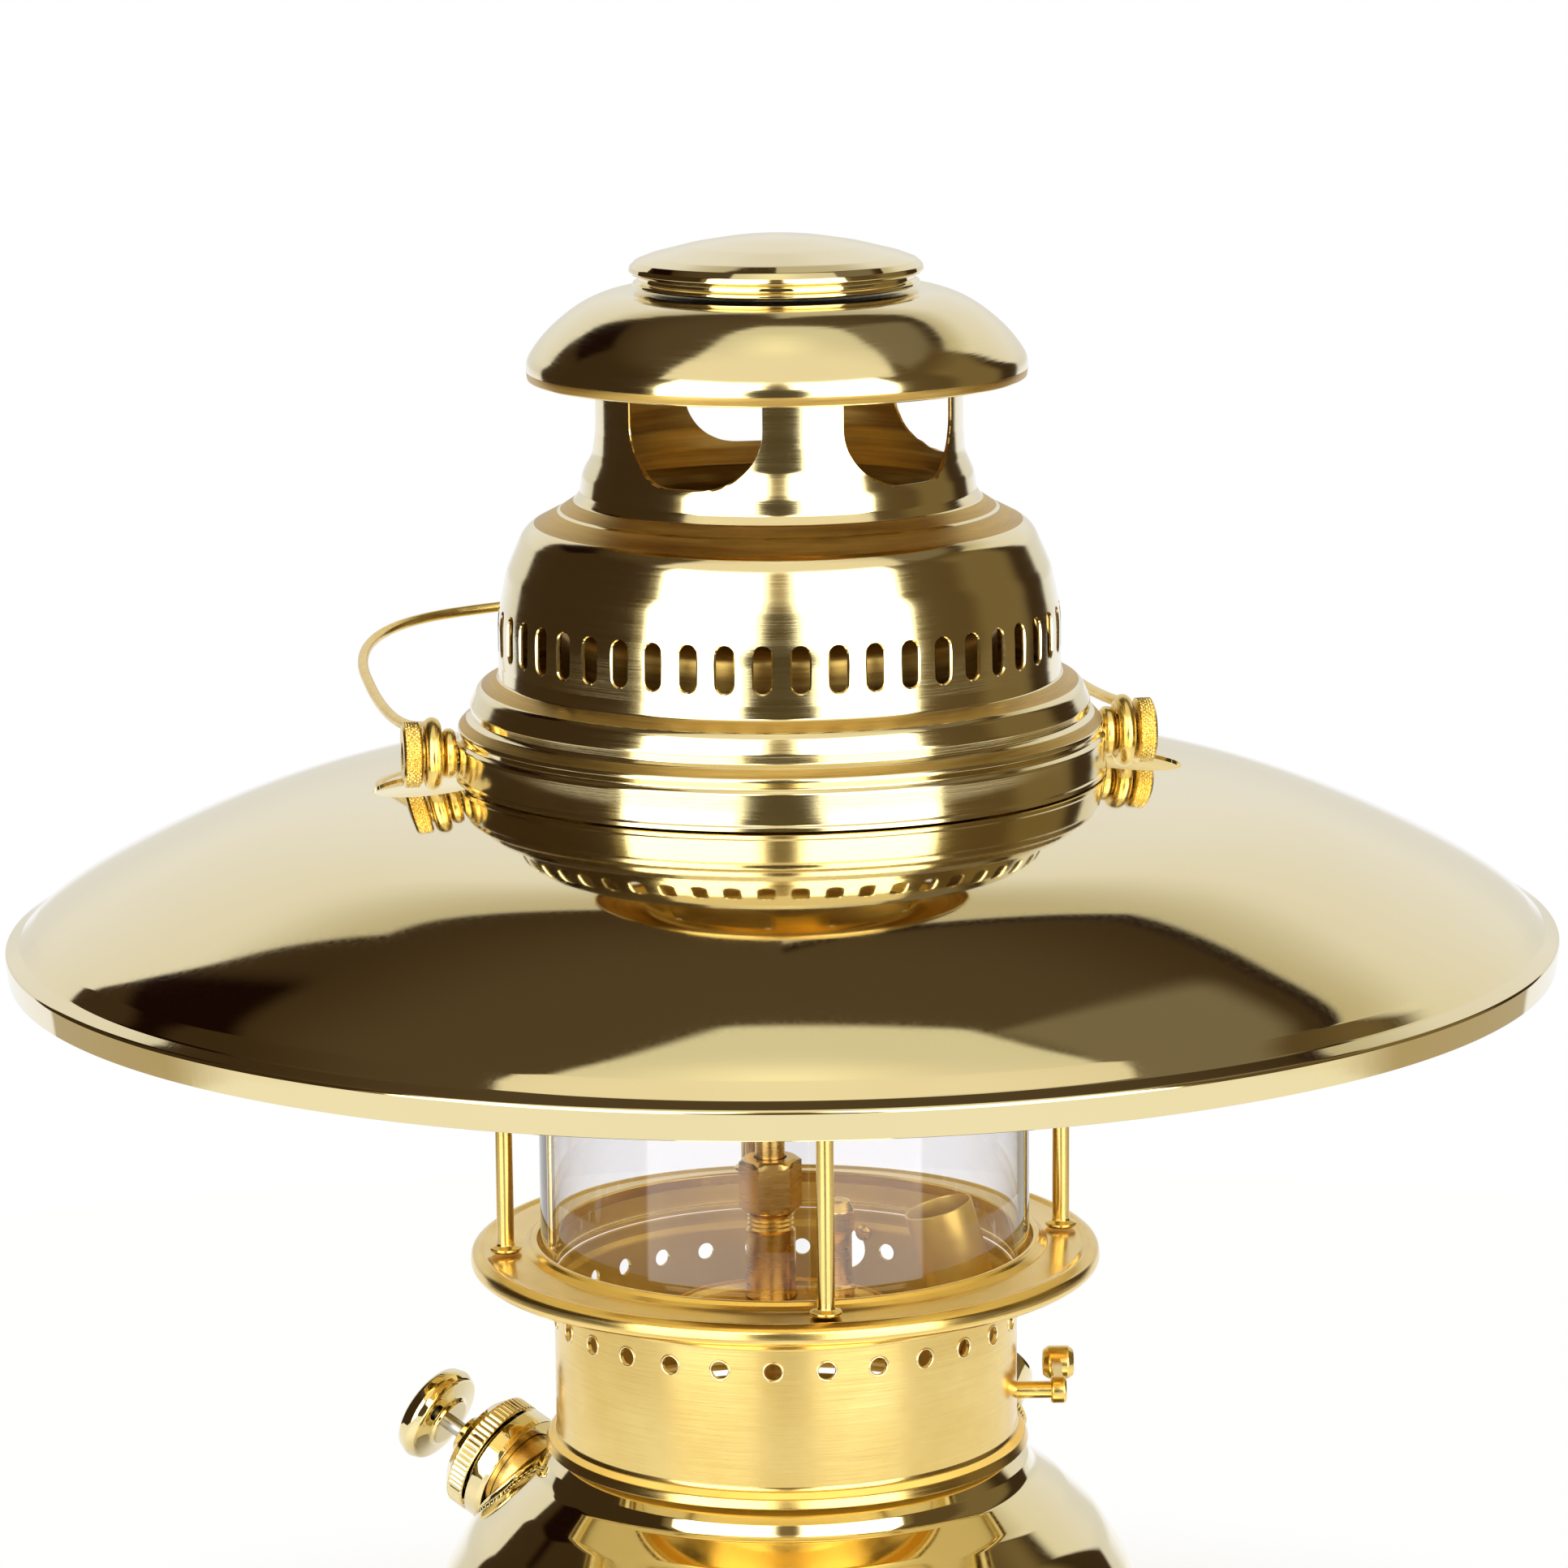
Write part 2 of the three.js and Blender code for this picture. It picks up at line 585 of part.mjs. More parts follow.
function trayParts() {
  const trayY = 8;
  const tray = turned([
    [0, TRAY_Z], [26, TRAY_Z], [27, TRAY_Z + 1], [27, TRAY_Z + 3.2], [26.2, TRAY_Z + 3.2],
    [25.6, TRAY_Z + 1.6], [0, TRAY_Z + 1.6],
  ], 24);
  tray.translate(0, trayY, 0);
  const bore = disc(6.4, TRAY_Z - 8, TRAY_Z + 8, 16);
  bore.translate(0, VAPOUR_Y, 0);
  add(lantern, 'spirit_tray', cut(tray, [bore]), rawBrass);
  const foot = TRAY_Z + 1.9;
  const head = SHELF_Z + 5;
  add(lantern, 'tray_post', turned([
    [0, foot], [3.6, foot], [3.6, head - 4], [2.6, head - 1], [0, head],
  ], 16), rawBrass, [16, 20, 0]);
}

function preheaterParts() {
  const tubeTop = SHELF_Z + 8.3;
  const tubeR = 36;           // distance of the flame tube's mouth from the lantern's axis
  const length = 30;
  const lean = 16;
  const group = groupAt([0, 0, 0], [0, 0, LEVER_AZ]);
  const inner = new THREE.Group();
  inner.position.set(tubeR, 0, tubeTop);
  inner.rotation.set(0, rad(-lean), 0);
  group.add(inner);
  add(inner, 'preheater_tube', ring(8.3, 7.6, -length, 0), rawBrass);
  add(inner, 'preheater_collar', ring(7.3, 4.4, 1.2 - length, 4.2 - length), rawBrass);
  const stemR = 44;
  const foot = DECK_Z + 0.4;
  const stem = turned([
    [0, foot], [6, foot], [6, foot + 4.6], [3.4, foot + 5.6], [3.4, foot + 20.6], [2, foot + 23.6],
    [2, foot + 32.6], [0, foot + 32.6],
  ], 16);
  const bore = radialBar(2.4, 1, 13, 0, LEVER_Z);
  add(group, 'preheater_riser', cut(stem, [bore]), rawBrass, [stemR, 0, 0]);
  // At rest the arm lies level; a quarter turn puts it upright.
  const armLength = 22.5;
  const shaft = radialBar(2, stemR + 1.6, 64, 0, 0);
  const arm = new THREE.BoxGeometry(3, armLength + 3.5, 5);
  arm.translate(64.5, armLength / 2 - 1.75, 0);
  const knob = bevelled(4, 61.5, 69, 1, 0, 16);
  knob.rotateY(Math.PI / 2);
  knob.translate(0, armLength, 0);
  const lever = join(shaft, [arm, knob]);
  add(group, 'preheater_lever', lever, rawBrass, [0, 0, LEVER_Z]);
}

function mantleParts() {
  const outer = [
    [0, MANTLE_Z], [10, MANTLE_Z + 2.4], [17, MANTLE_Z + 9.5], [19, MANTLE_Z + 17], [18, MANTLE_Z + 28],
    [12.8, MANTLE_Z + 47], [11.6, MANTLE_Z + 58],
  ];
  add(lantern, 'mantle', turned(sheet(outer, 0.6), 16), { color: 0xf6f3ea, roughness: 0.95, metalness: 0 });
  add(lantern, 'burner_nozzle', turned([
    [6.5, NOZZLE_Z], [10.4, NOZZLE_Z], [10.4, NOZZLE_Z + 6], [13, NOZZLE_Z + 7.5], [13, NOZZLE_Z + 15],
    [9.6, NOZZLE_Z + 19], [6.5, NOZZLE_Z + 19],
  ]), { color: 0xdad6ca, roughness: 0.7, metalness: 0 });
  add(lantern, 'mixing_chamber', turned([
    [10, NOZZLE_Z + 19.4], [16.2, NOZZLE_Z + 16], [17.4, NOZZLE_Z + 17], [17.4, NOZZLE_Z + 24],
    [8, NOZZLE_Z + 36], [8, NOZZLE_Z + 47], [6.9, NOZZLE_Z + 47], [6.9, NOZZLE_Z + 35.4],
    [16, NOZZLE_Z + 23.6], [16, NOZZLE_Z + 18.4], [10, NOZZLE_Z + 20.6],
  ]), rawBrass);
  const bendR = VAPOUR_Y / 2;
  const bendZ = JET_Z + 17;
  const points = [new THREE.Vector3(0, 0, NOZZLE_Z + 44.5)];
  for (let i = 0; i <= 6; i += 1) {
    const angle = Math.PI * (1 - i / 6);
    const y = bendR + bendR * Math.cos(angle);
    points.push(new THREE.Vector3(0, y, bendZ + bendR * Math.sin(angle)));
  }
  points.push(new THREE.Vector3(0, VAPOUR_Y, JET_Z + 8));
  add(lantern, 'mixing_tube', tube(points, 6.4, 5.4, 12), rawBrass);
}

function casingParts() {
  const bottom = HOOD_Z - 11.3;
  const flange = HOOD_Z + 12.1;
  const top = bottom + 62;
  add(lantern, 'inner_casing', turned([
    [49.4, bottom], [50.4, bottom], [50.4, flange], [58.2, flange], [58.2, flange + 1], [50.4, flange + 1],
    [50.4, top - 17], [36, top], [34.8, top], [49.4, top - 17.6],
  ], 24), rawBrass);
}

tankParts();
fillerParts();
pumpParts();
frameParts();
shadeParts();
hoodParts();
bailParts();
burnerParts();
controlParts();
trayParts();
preheaterParts();
mantleParts();
casingParts();

export default lantern;
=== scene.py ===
"""Looks of a brass pressure lantern with a wide shade, built round its fixed CAD frame."""
import json
import math

import bpy
import numpy as np
from mathutils import Matrix, Vector


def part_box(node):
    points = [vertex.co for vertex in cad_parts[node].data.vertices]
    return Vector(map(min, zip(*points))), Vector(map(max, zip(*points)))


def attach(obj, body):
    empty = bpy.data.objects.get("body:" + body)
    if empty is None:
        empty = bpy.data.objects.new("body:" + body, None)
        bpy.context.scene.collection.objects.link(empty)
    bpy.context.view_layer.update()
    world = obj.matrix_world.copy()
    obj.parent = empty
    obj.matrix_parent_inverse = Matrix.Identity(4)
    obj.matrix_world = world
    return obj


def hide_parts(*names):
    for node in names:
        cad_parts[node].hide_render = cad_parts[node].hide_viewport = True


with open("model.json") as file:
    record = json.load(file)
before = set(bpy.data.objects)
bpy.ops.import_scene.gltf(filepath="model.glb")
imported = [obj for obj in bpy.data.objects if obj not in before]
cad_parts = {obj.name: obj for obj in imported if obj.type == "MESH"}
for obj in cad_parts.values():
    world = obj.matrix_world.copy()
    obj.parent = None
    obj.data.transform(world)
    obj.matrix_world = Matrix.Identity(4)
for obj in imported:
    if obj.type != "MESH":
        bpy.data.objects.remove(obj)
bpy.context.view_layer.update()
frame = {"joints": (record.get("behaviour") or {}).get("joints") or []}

MM = 0.001
FINE = 224                  # segments round a large polished piece
MEDIUM = 96
SMALL = 48
THIN = 32
SHARP = 32                  # edges that turn by more degrees than this stay sharp
HERE = Matrix.Identity(4)   # for pieces that are made in place


# ---------- measures taken from the frame, in millimetres ----------

def low(node):
    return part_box(node)[0] / MM


def high(node):
    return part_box(node)[1] / MM


def middle(node):
    return (low(node) + high(node)) / 2


RIM_Z = low("shade").z
SHADE_R = high("shade").x
HOOD_Z = low("hood_body").z
HOOD_R = high("hood_body").x
PIVOT_Z = middle("thumb_nut_right").z
CAP_Z = low("mushroom_cap").z
CAP_R = high("mushroom_cap").x
TOP_Z = high("cap_button").z
DECK_Z = high("tank_shell").z
TANK_R = high("tank_shell").x
SHELF_Z = high("gallery_ring").z - 2.1
GALLERY_R = high("gallery_ring").x
SKIRT_R = 54.5
GLASS_R = high("glass").x
GLASS_WALL = 2.6
VAPOUR_Y = middle("vaporizer_tube").y
SPINDLE_Z = middle("control_wheel").z
SLOTS = 48
SLOT_RISE = 77.4            # height of the row of slots above the rim of the shade
WINDOWS = 5
WINDOW_START = -54          # degrees, anticlockwise from the right thumb nut
SKIRT_HOLES = 27            # small holes, with one large match hole in the gap of their row
HOLE_STEP = 12.95
MATCH_HOLE = 66
PRESSED = 0.8               # wall of the pressed parts
OPENING_X = 81.5            # round openings in the shade under the thumb nuts
OPENING_R = 13
EYE_X = low("thumb_nut_right").x - 2.65
EYE_R = 6.5
EYE_WIRE_R = 2.0            # the eyes are forged thicker than the wire


# ---------- outlines ----------

def rounded(points, steps=7):
    """Outline through (radius, height) corners; a third number rounds that corner with an arc."""
    out = []
    for i, item in enumerate(points):
        corner = np.array(item[:2], float)
        radius = item[2] if len(item) > 2 else 0
        if radius == 0 or i == 0 or i == len(points) - 1:
            out.append(corner)
            continue
        before = np.array(points[i - 1][:2], float) - corner
        after = np.array(points[i + 1][:2], float) - corner
        reach_before = np.linalg.norm(before)
        reach_after = np.linalg.norm(after)
        before /= reach_before
        after /= reach_after
        half = math.acos(max(-1, min(1, float(before @ after)))) / 2
        if half > math.pi / 2 - 0.005:
            out.append(corner)
            continue
        setback = min(radius / math.tan(half), 0.49 * reach_before, 0.49 * reach_after)
        radius = setback * math.tan(half)
        centre = corner + (before + after) / np.linalg.norm(before + after) * radius / math.sin(half)
        start = corner + before * setback - centre
        end = corner + after * setback - centre
        turn = math.atan2(start[0] * end[1] - start[1] * end[0], float(start @ end))
        for k in range(steps + 1):
            angle = turn * k / steps
            c, s = math.cos(angle), math.sin(angle)
            out.append(centre + np.array([c * start[0] - s * start[1], s * start[0] + c * start[1]]))
    return dense(out)


def smooth(points, step=0.8):
    """Outline that flows through the points, with no corners."""
    p = np.array(points, float)
    ends = np.vstack([2 * p[0] - p[1], p, 2 * p[-1] - p[-2]])
    out = []
    for i in range(1, len(ends) - 2):
        a, b, c, d = ends[i - 1:i + 3]
        knots = [0]
        for q, r in ((a, b), (b, c), (c, d)):
            knots.append(knots[-1] + math.sqrt(np.linalg.norm(r - q)))
        t0, t1, t2, t3 = knots
        count = max(2, int(np.linalg.norm(c - b) / step))
        for t in np.linspace(t1, t2, count, endpoint=False):
            ab = (t1 - t) / (t1 - t0) * a + (t - t0) / (t1 - t0) * b
            bc = (t2 - t) / (t2 - t1) * b + (t - t1) / (t2 - t1) * c
            cd = (t3 - t) / (t3 - t2) * c + (t - t2) / (t3 - t2) * d
            abc = (t2 - t) / (t2 - t0) * ab + (t - t0) / (t2 - t0) * bc
            bcd = (t3 - t) / (t3 - t1) * bc + (t - t1) / (t3 - t1) * cd
            out.append((t2 - t) / (t2 - t1) * abc + (t - t1) / (t2 - t1) * bcd)
    out.append(p[-1])
    return out


def dense(points, step=2.5):
    """Adds points on long straight stretches, so that normals stay true there."""
    out = [np.array(points[0], float)]
    for q in points[1:]:
        q = np.array(q, float)
        gap = np.linalg.norm(q - out[-1])
        if gap < 1e-6:
            continue
        count = max(1, int(math.ceil(gap / step)))
        start = out[-1]
        for k in range(1, count + 1):
            out.append(start + (q - start) * k / count)
    return out


def sheet(outer, thickness):
    """Closed outline of pressed metal: the outer line, then the same line on its left, walked back."""
    p = np.array(outer, float)
    run = np.gradient(p, axis=0)
    run /= np.maximum(np.linalg.norm(run, axis=1, keepdims=True), 1e-9)
    left = np.stack([-run[:, 1], run[:, 0]], 1)
    inner = p + left * thickness
    inner[:, 0] = np.maximum(inner[:, 0], 0)
    first, last = [], []
    for k in range(1, 5):
        angle = math.pi * k / 5
        for ends, i, sign in ((last, -1, 1), (first, 0, -1)):
            centre = p[i] + left[i] * thickness / 2
            away = run[i] * sign
            sideways = left[i] * sign * math.cos(angle)
            ends.append(centre + (away * math.sin(angle) - sideways) * thickness / 2)
    if p[-1][0] < 1e-6:
        last = []
    if p[0][0] < 1e-6:
        first = []
    return list(p) + last + list(inner[::-1]) + first


# ---------- meshes ----------

def new_object(name, verts, faces, smooth_angle=SHARP):
    mesh = bpy.data.meshes.new(name)
    mesh.from_pydata([tuple(v) for v in verts], [], faces)
    mesh.validate()
    obj = bpy.data.objects.new(name, mesh)
    bpy.context.scene.collection.objects.link(obj)
    shade(mesh, smooth_angle)
    return obj


def shade(mesh, smooth_angle=SHARP):
    mesh.polygons.foreach_set("use_smooth", [True] * len(mesh.polygons))
    mesh.set_sharp_from_angle(angle=math.radians(smooth_angle))


def spin(outline, segments=MEDIUM, ripple=None):
    """Vertices (metres) and faces of an outline turned about Z.
    ripple(angle, radius, height) changes the radius."""
    p = np.array(outline, float)
    closed = not (p[0][0] < 1e-6 and p[-1][0] < 1e-6)
    if closed and np.linalg.norm(p[0] - p[-1]) < 1e-6:
        p = p[:-1]
    q = np.vstack([p, p[:1]])
    area = float(np.sum(q[:-1, 0] * q[1:, 1] - q[1:, 0] * q[:-1, 1]))
    if area < 0:
        p = p[::-1]
    verts, rows = [], []
    for r, z in p:
        if r < 1e-6:
            rows.append([len(verts)] * segments)
            verts.append((0, 0, z * MM))
            continue
        rows.append(list(range(len(verts), len(verts) + segments)))
        for k in range(segments):
            angle = 2 * math.pi * k / segments
            rr = r if ripple is None else ripple(angle, r, z)
            verts.append((rr * math.cos(angle) * MM, rr * math.sin(angle) * MM, z * MM))
    faces = []
    count = len(rows)
    for i in range(count if closed else count - 1):
        a, b = rows[i], rows[(i + 1) % count]
        for k in range(segments):
            n = (k + 1) % segments
            face = []
            for v in (a[k], a[n], b[n], b[k]):
                if v not in face:
                    face.append(v)
            if len(face) > 2:
                faces.append(face)
    return verts, faces


def turned(name, outline, segments=MEDIUM, ripple=None, smooth_angle=SHARP):
    verts, faces = spin(outline, segments, ripple)
    return new_object(name, verts, faces, smooth_angle)


def prism(sides, across_corners, bottom, top, bore, bevel=0.5):
    """Vertices and faces of a nut about Z: flat sides, a bore and corners rounded off at both ends."""
    per_side = 8
    segments = sides * per_side

    def flat_radius(angle):
        part = (angle + 1e-9) % (2 * math.pi / sides) - math.pi / sides
        return across_corners / 2 * math.cos(math.pi / sides) / math.cos(part)

    reach = across_corners / 2

    def ripple(angle, r, z):
        if r < reach - 3:
            return r
        return min(r, flat_radius(angle))

    outline = [
        (bore, bottom), (reach - 1.5 * bevel, bottom), (reach, bottom + bevel), (reach, top - bevel),
        (reach - 1.5 * bevel, top), (bore, top),
    ]
    return spin(dense(outline, 1.2), segments, ripple)


def block(near, far, half, bottom, top):
    """Vertices and faces of a small block that runs from near to far along X."""
    verts = [(x * MM, y * MM, z * MM) for z in (bottom, top)
             for x, y in ((near, -half), (far, -half), (far, half), (near, half))]
    faces = [[3, 2, 1, 0], [4, 5, 6, 7], [0, 1, 5, 4], [1, 2, 6, 5], [2, 3, 7, 6], [3, 0, 4, 7]]
    return verts, faces


def sweep(points, radius, sides=16):
    """Vertices and faces of a round wire through points, with rounded ends."""
    p = [Vector(q) for q in points]
    tangents = []
    for i in range(len(p)):
        tangents.append((p[min(i + 1, len(p) - 1)] - p[max(i - 1, 0)]).normalized())
    normal = tangents[0].orthogonal().normalized()
    verts, rings = [], []

    def ring(centre, tangent, r):
        side = tangent.cross(normal)
        rings.append(len(verts))
        for k in range(sides):
            angle = 2 * math.pi * k / sides
            verts.append(centre + (normal * math.cos(angle) + side * math.sin(angle)) * r)

    end_rings = (35, 60, 80)
    for angle in reversed(end_rings):
        a = math.radians(angle)
        ring(p[0] - tangents[0] * radius * math.sin(a), tangents[0], radius * math.cos(a))
    for centre, tangent in zip(p, tangents):
        normal = (normal - tangent * normal.dot(tangent)).normalized()
        ring(centre, tangent, radius)
    for angle in end_rings:
        a = math.radians(angle)
        ring(p[-1] + tangents[-1] * radius * math.sin(a), tangents[-1], radius * math.cos(a))
    faces = [list(range(sides))[::-1], [rings[-1] + k for k in range(sides)]]
    for a, b in zip(rings, rings[1:]):
        for k in range(sides):
            n = (k + 1) % sides
            faces.append([a + k, a + n, b + n, b + k])
    return verts, faces


def arc(centre, radius, start, end, steps):
    """Points of an arc; the angles are in half turns."""
    turns = [start + (end - start) * k / steps for k in range(steps + 1)]
    return [(centre[0] + radius * math.cos(math.pi * t), centre[1] + radius * math.sin(math.pi * t))
            for t in turns]


def moved(shape, matrix):
    verts, faces = shape
    return [matrix @ Vector(v) for v in verts], faces


def merged(*shapes):
    verts, faces = [], []
    for v, f in shapes:
        start = len(verts)
        verts += list(v)
        faces += [[i + start for i in face] for face in f]
    return verts, faces


def carve(obj, cutters, smooth_angle=SHARP):
    """Cuts the closed shapes out of the object."""
    tool = new_object(obj.name + "_cutter", *merged(*cutters))
    cut = obj.modifiers.new("cut", "BOOLEAN")
    cut.operation = "DIFFERENCE"
    cut.solver = "MANIFOLD"
    cut.object = tool
    graph = bpy.context.evaluated_depsgraph_get()
    result = bpy.data.meshes.new_from_object(obj.evaluated_get(graph))
    obj.modifiers.remove(cut)
    old = obj.data
    obj.data = result
    bpy.data.meshes.remove(old)
    bpy.data.objects.remove(tool)
    shade(obj.data, smooth_angle)
    return obj


def true_normals(obj, outline):
    """Gives each face corner on the turned surface the outline's own normal, so that the
    reflections stay clean round cut holes."""
    p = np.array(outline, float)
    run = np.gradient(p, axis=0)
    run /= np.maximum(np.linalg.norm(run, axis=1, keepdims=True), 1e-9)
    normal = np.stack([run[:, 1], -run[:, 0]], 1)
    mesh = obj.data
    co = np.zeros(len(mesh.vertices) * 3, np.float32)
    mesh.vertices.foreach_get("co", co)
    co = co.reshape(-1, 3) / MM
    radius = np.hypot(co[:, 0], co[:, 1])
    place = np.stack([radius, co[:, 2]], 1)
    best = np.zeros(len(co), int)
    batch = 4000
    for start in range(0, len(co), batch):
        some = place[start:start + batch]
        gap = ((some[:, None, :] - p[None, :, :]) ** 2).sum(2)
        best[start:start + batch] = gap.argmin(1)
    found = normal[best]
    safe = np.maximum(radius, 1e-6)
    level = found[:, 0] / safe
    vertex_normal = np.stack([co[:, 0] * level, co[:, 1] * level, found[:, 1]], 1)
    corner_vertex = np.zeros(len(mesh.loops), int)
    mesh.loops.foreach_get("vertex_index", corner_vertex)
    corner = np.array([c.vector for c in mesh.corner_normals], np.float32)
    face_of = np.zeros(len(mesh.loops), int)
    face_normal = np.zeros(len(mesh.polygons) * 3, np.float32)
    mesh.polygons.foreach_get("normal", face_normal)
    face_normal = face_normal.reshape(-1, 3)
    for poly in mesh.polygons:
        face_of[poly.loop_start:poly.loop_start + poly.loop_total] = poly.index
    same_way = 0.93         # cosine: walls of holes turn away further than this
    agree = (face_normal[face_of] * vertex_normal[corner_vertex]).sum(1) > same_way
    corner[agree] = vertex_normal[corner_vertex][agree]
    mesh.normals_split_custom_set([tuple(n) for n in corner])


def about(origin, axis, spin_angle=0):
    """Matrix that puts +Z along axis at origin (millimetres in, metres out)."""
    turn = Vector((0, 0, 1)).rotation_difference(Vector(axis).normalized()).to_matrix().to_4x4()
    return Matrix.Translation(Vector(origin) * MM) @ turn @ Matrix.Rotation(spin_angle, 4, "Z")


def upright(x, y):
    """Matrix that moves a piece sideways (millimetres in, metres out)."""
    return Matrix.Translation(Vector((x, y, 0)) * MM)


def place(obj, matrix):
    obj.data.transform(matrix)
    return obj


def finish_piece(obj, look, body, *nodes):
    """Gives the piece its material and body, and hides the CAD nodes it stands for."""
    obj.data.materials.clear()
    obj.data.materials.append(look)
    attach(obj, body)
    if nodes:
        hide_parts(*nodes)
    return obj


def turned_piece(name, outline, segments, at, look, body, *nodes, ripple=None, smooth_angle=SHARP):
    """A turned piece, moved to its place and finished."""
    obj = place(turned(name, outline, segments, ripple, smooth_angle), at)
    return finish_piece(obj, look, body, *nodes)


# ---------- materials ----------

class Nodes:
    """Small helper that adds nodes to a material and links them."""

    def __init__(self, name, **values):
        self.material = bpy.data.materials.new(name)
        self.material.use_nodes = True
        self.tree = self.material.node_tree
        self.surface = self.tree.nodes["Principled BSDF"]
        for key, value in values.items():
            self.surface.inputs[key.replace("_", " ")].default_value = value

    def add(self, kind, **values):
        node = self.tree.nodes.new(kind)
        for key, value in values.items():
            setattr(node, key, value)
        return node

    def link(self, source, target):
        self.tree.links.new(source, target)

    def noise(self, scale, detail=4, stretch=(1, 1, 1), rough=0.5):
        place_node = self.add("ShaderNodeTexCoord")
        mapping = self.add("ShaderNodeMapping")
        mapping.inputs["Scale"].default_value = stretch
        self.link(place_node.outputs["Object"], mapping.inputs["Vector"])
        texture = self.add("ShaderNodeTexNoise")
        texture.inputs["Scale"].default_value = scale
        texture.inputs["Detail"].default_value = detail
        texture.inputs["Roughness"].default_value = rough
        self.link(mapping.outputs["Vector"], texture.inputs["Vector"])
        return texture.outputs["Fac"]

    def range(self, value, low_out, high_out, low_in=0.3, high_in=0.7):
        node = self.add("ShaderNodeMapRange")
        node.inputs["From Min"].default_value = low_in
        node.inputs["From Max"].default_value = high_in
        node.inputs["To Min"].default_value = low_out
        node.inputs["To Max"].default_value = high_out
        self.link(value, node.inputs["Value"])
        return node.outputs["Result"]

    def mix(self, factor, first, second):
        node = self.add("ShaderNodeMix", data_type="RGBA")
        self.link(factor, node.inputs["Factor"])
        node.inputs["A"].default_value = (*first, 1)
        node.inputs["B"].default_value = (*second, 1)
        return node.outputs["Result"]

    def bump(self, height, strength, distance):
        node = self.add("ShaderNodeBump")
        node.inputs["Strength"].default_value = strength
        node.inputs["Distance"].default_value = distance
        self.link(height, node.inputs["Height"])
        self.link(node.outputs["Normal"], self.surface.inputs["Normal"])

    def colour(self, factor, first, second):
        self.link(self.mix(factor, first, second), self.surface.inputs["Base Color"])

    def roughness(self, value, low_out, high_out):
        self.link(self.range(value, low_out, high_out), self.surface.inputs["Roughness"])


def brass_colour(n, patches, deep, light):
    """Patchy polished brass that turns paler where it is seen at a grazing angle."""
    colour = n.mix(patches, deep, light)
    facing = n.add("ShaderNodeLayerWeight")
    facing.inputs["Blend"].default_value = 0.5
    pale = n.add("ShaderNodeMix", data_type="RGBA")
    n.link(n.range(facing.outputs["Facing"], 0, 0.75, 0.45, 1.0), pale.inputs["Factor"])
    n.link(colour, pale.inputs["A"])
    pale.inputs["B"].default_value = (0.95, 0.93, 0.87, 1)
    n.link(pale.outputs["Result"], n.surface.inputs["Base Color"])


def polished_brass():
    """Mirror polish with the faint haze and fine wiping marks of an old lamp."""
    n = Nodes("polished_brass", Metallic=1.0)
    brass_colour(n, n.noise(22, 3), (0.83, 0.70, 0.38), (0.88, 0.76, 0.44))
    fine = n.noise(900, 5, (1, 1, 0.12), 0.65)
    n.roughness(fine, 0.03, 0.075)
    n.bump(n.noise(35, 2), 0.05, 0.00015)
    return n.material


def spun_brass():
    """Polished brass that shows faint turning lines along its circumference."""
    n = Nodes("spun_brass", Metallic=1.0)
    brass_colour(n, n.noise(18, 3), (0.82, 0.69, 0.37), (0.87, 0.75, 0.43))
    lines = n.noise(60, 4, (0.6, 0.6, 45), 0.7)
    n.roughness(lines, 0.07, 0.15)
    n.bump(lines, 0.16, 0.00006)
    return n.material


def raw_brass():
    """Drawn brass as it leaves the tool: amber, streaked and dull."""
    n = Nodes("raw_brass", Metallic=1.0)
    streaks = n.noise(70, 6, (0.25, 0.25, 6), 0.7)
    n.colour(n.range(streaks, 0, 1), (0.42, 0.25, 0.06), (0.80, 0.55, 0.16))
    n.roughness(streaks, 0.26, 0.42)
    n.bump(streaks, 0.25, 0.0002)
    return n.material


def satin_brass():
    """Dipped brass hardware: a deep golden colour and a soft sheen."""
    n = Nodes("satin_brass", Metallic=1.0)
    n.colour(n.noise(120, 4), (0.82, 0.58, 0.17), (0.90, 0.68, 0.24))
    n.roughness(n.noise(400, 4), 0.18, 0.30)
    n.bump(n.noise(700, 3), 0.12, 0.0001)
    return n.material


def brushed_brass():
    """Golden brass brushed round its axis, as on the gallery, its skirt and the rods."""
    n = Nodes("brushed_brass", Metallic=1.0)
    patches = n.noise(45, 4)
    n.colour(n.range(patches, 0, 1), (0.78, 0.55, 0.17), (0.88, 0.66, 0.25))
    lines = n.noise(90, 4, (0.5, 0.5, 30), 0.65)
    n.roughness(lines, 0.14, 0.26)
    n.bump(lines, 0.12, 0.00008)
    return n.material


def machined_brass():
    """Turned bar stock, as on the burner: fine tool lines and a light patina."""
    n = Nodes("machined_brass", Metallic=1.0)
    patches = n.noise(60, 5)
    n.colour(n.range(patches, 0, 1), (0.66, 0.43, 0.14), (0.86, 0.62, 0.24))
    lines = n.noise(120, 3, (0.4, 0.4, 9), 0.6)
    n.roughness(lines, 0.23, 0.30)
    n.bump(lines, 0.02, 0.00002)
    return n.material


def etched_brass():
    """Unpolished inner wall, matt enough to glow in the light that falls through the glass."""
    n = Nodes("etched_brass", Metallic=0.45)
    patches = n.noise(50, 5)
    n.colour(n.range(patches, 0, 1), (0.82, 0.54, 0.12), (0.97, 0.70, 0.20))
    streaks = n.noise(80, 4, (0.5, 0.5, 12), 0.6)
    n.roughness(streaks, 0.30, 0.46)
    n.bump(streaks, 0.10, 0.0001)
    return n.material


def steel():
    n = Nodes("steel", Metallic=1.0)
    lines = n.noise(150, 4, (1, 1, 12), 0.6)
    n.colour(lines, (0.34, 0.34, 0.33), (0.60, 0.60, 0.58))
    n.roughness(lines, 0.25, 0.42)
    return n.material


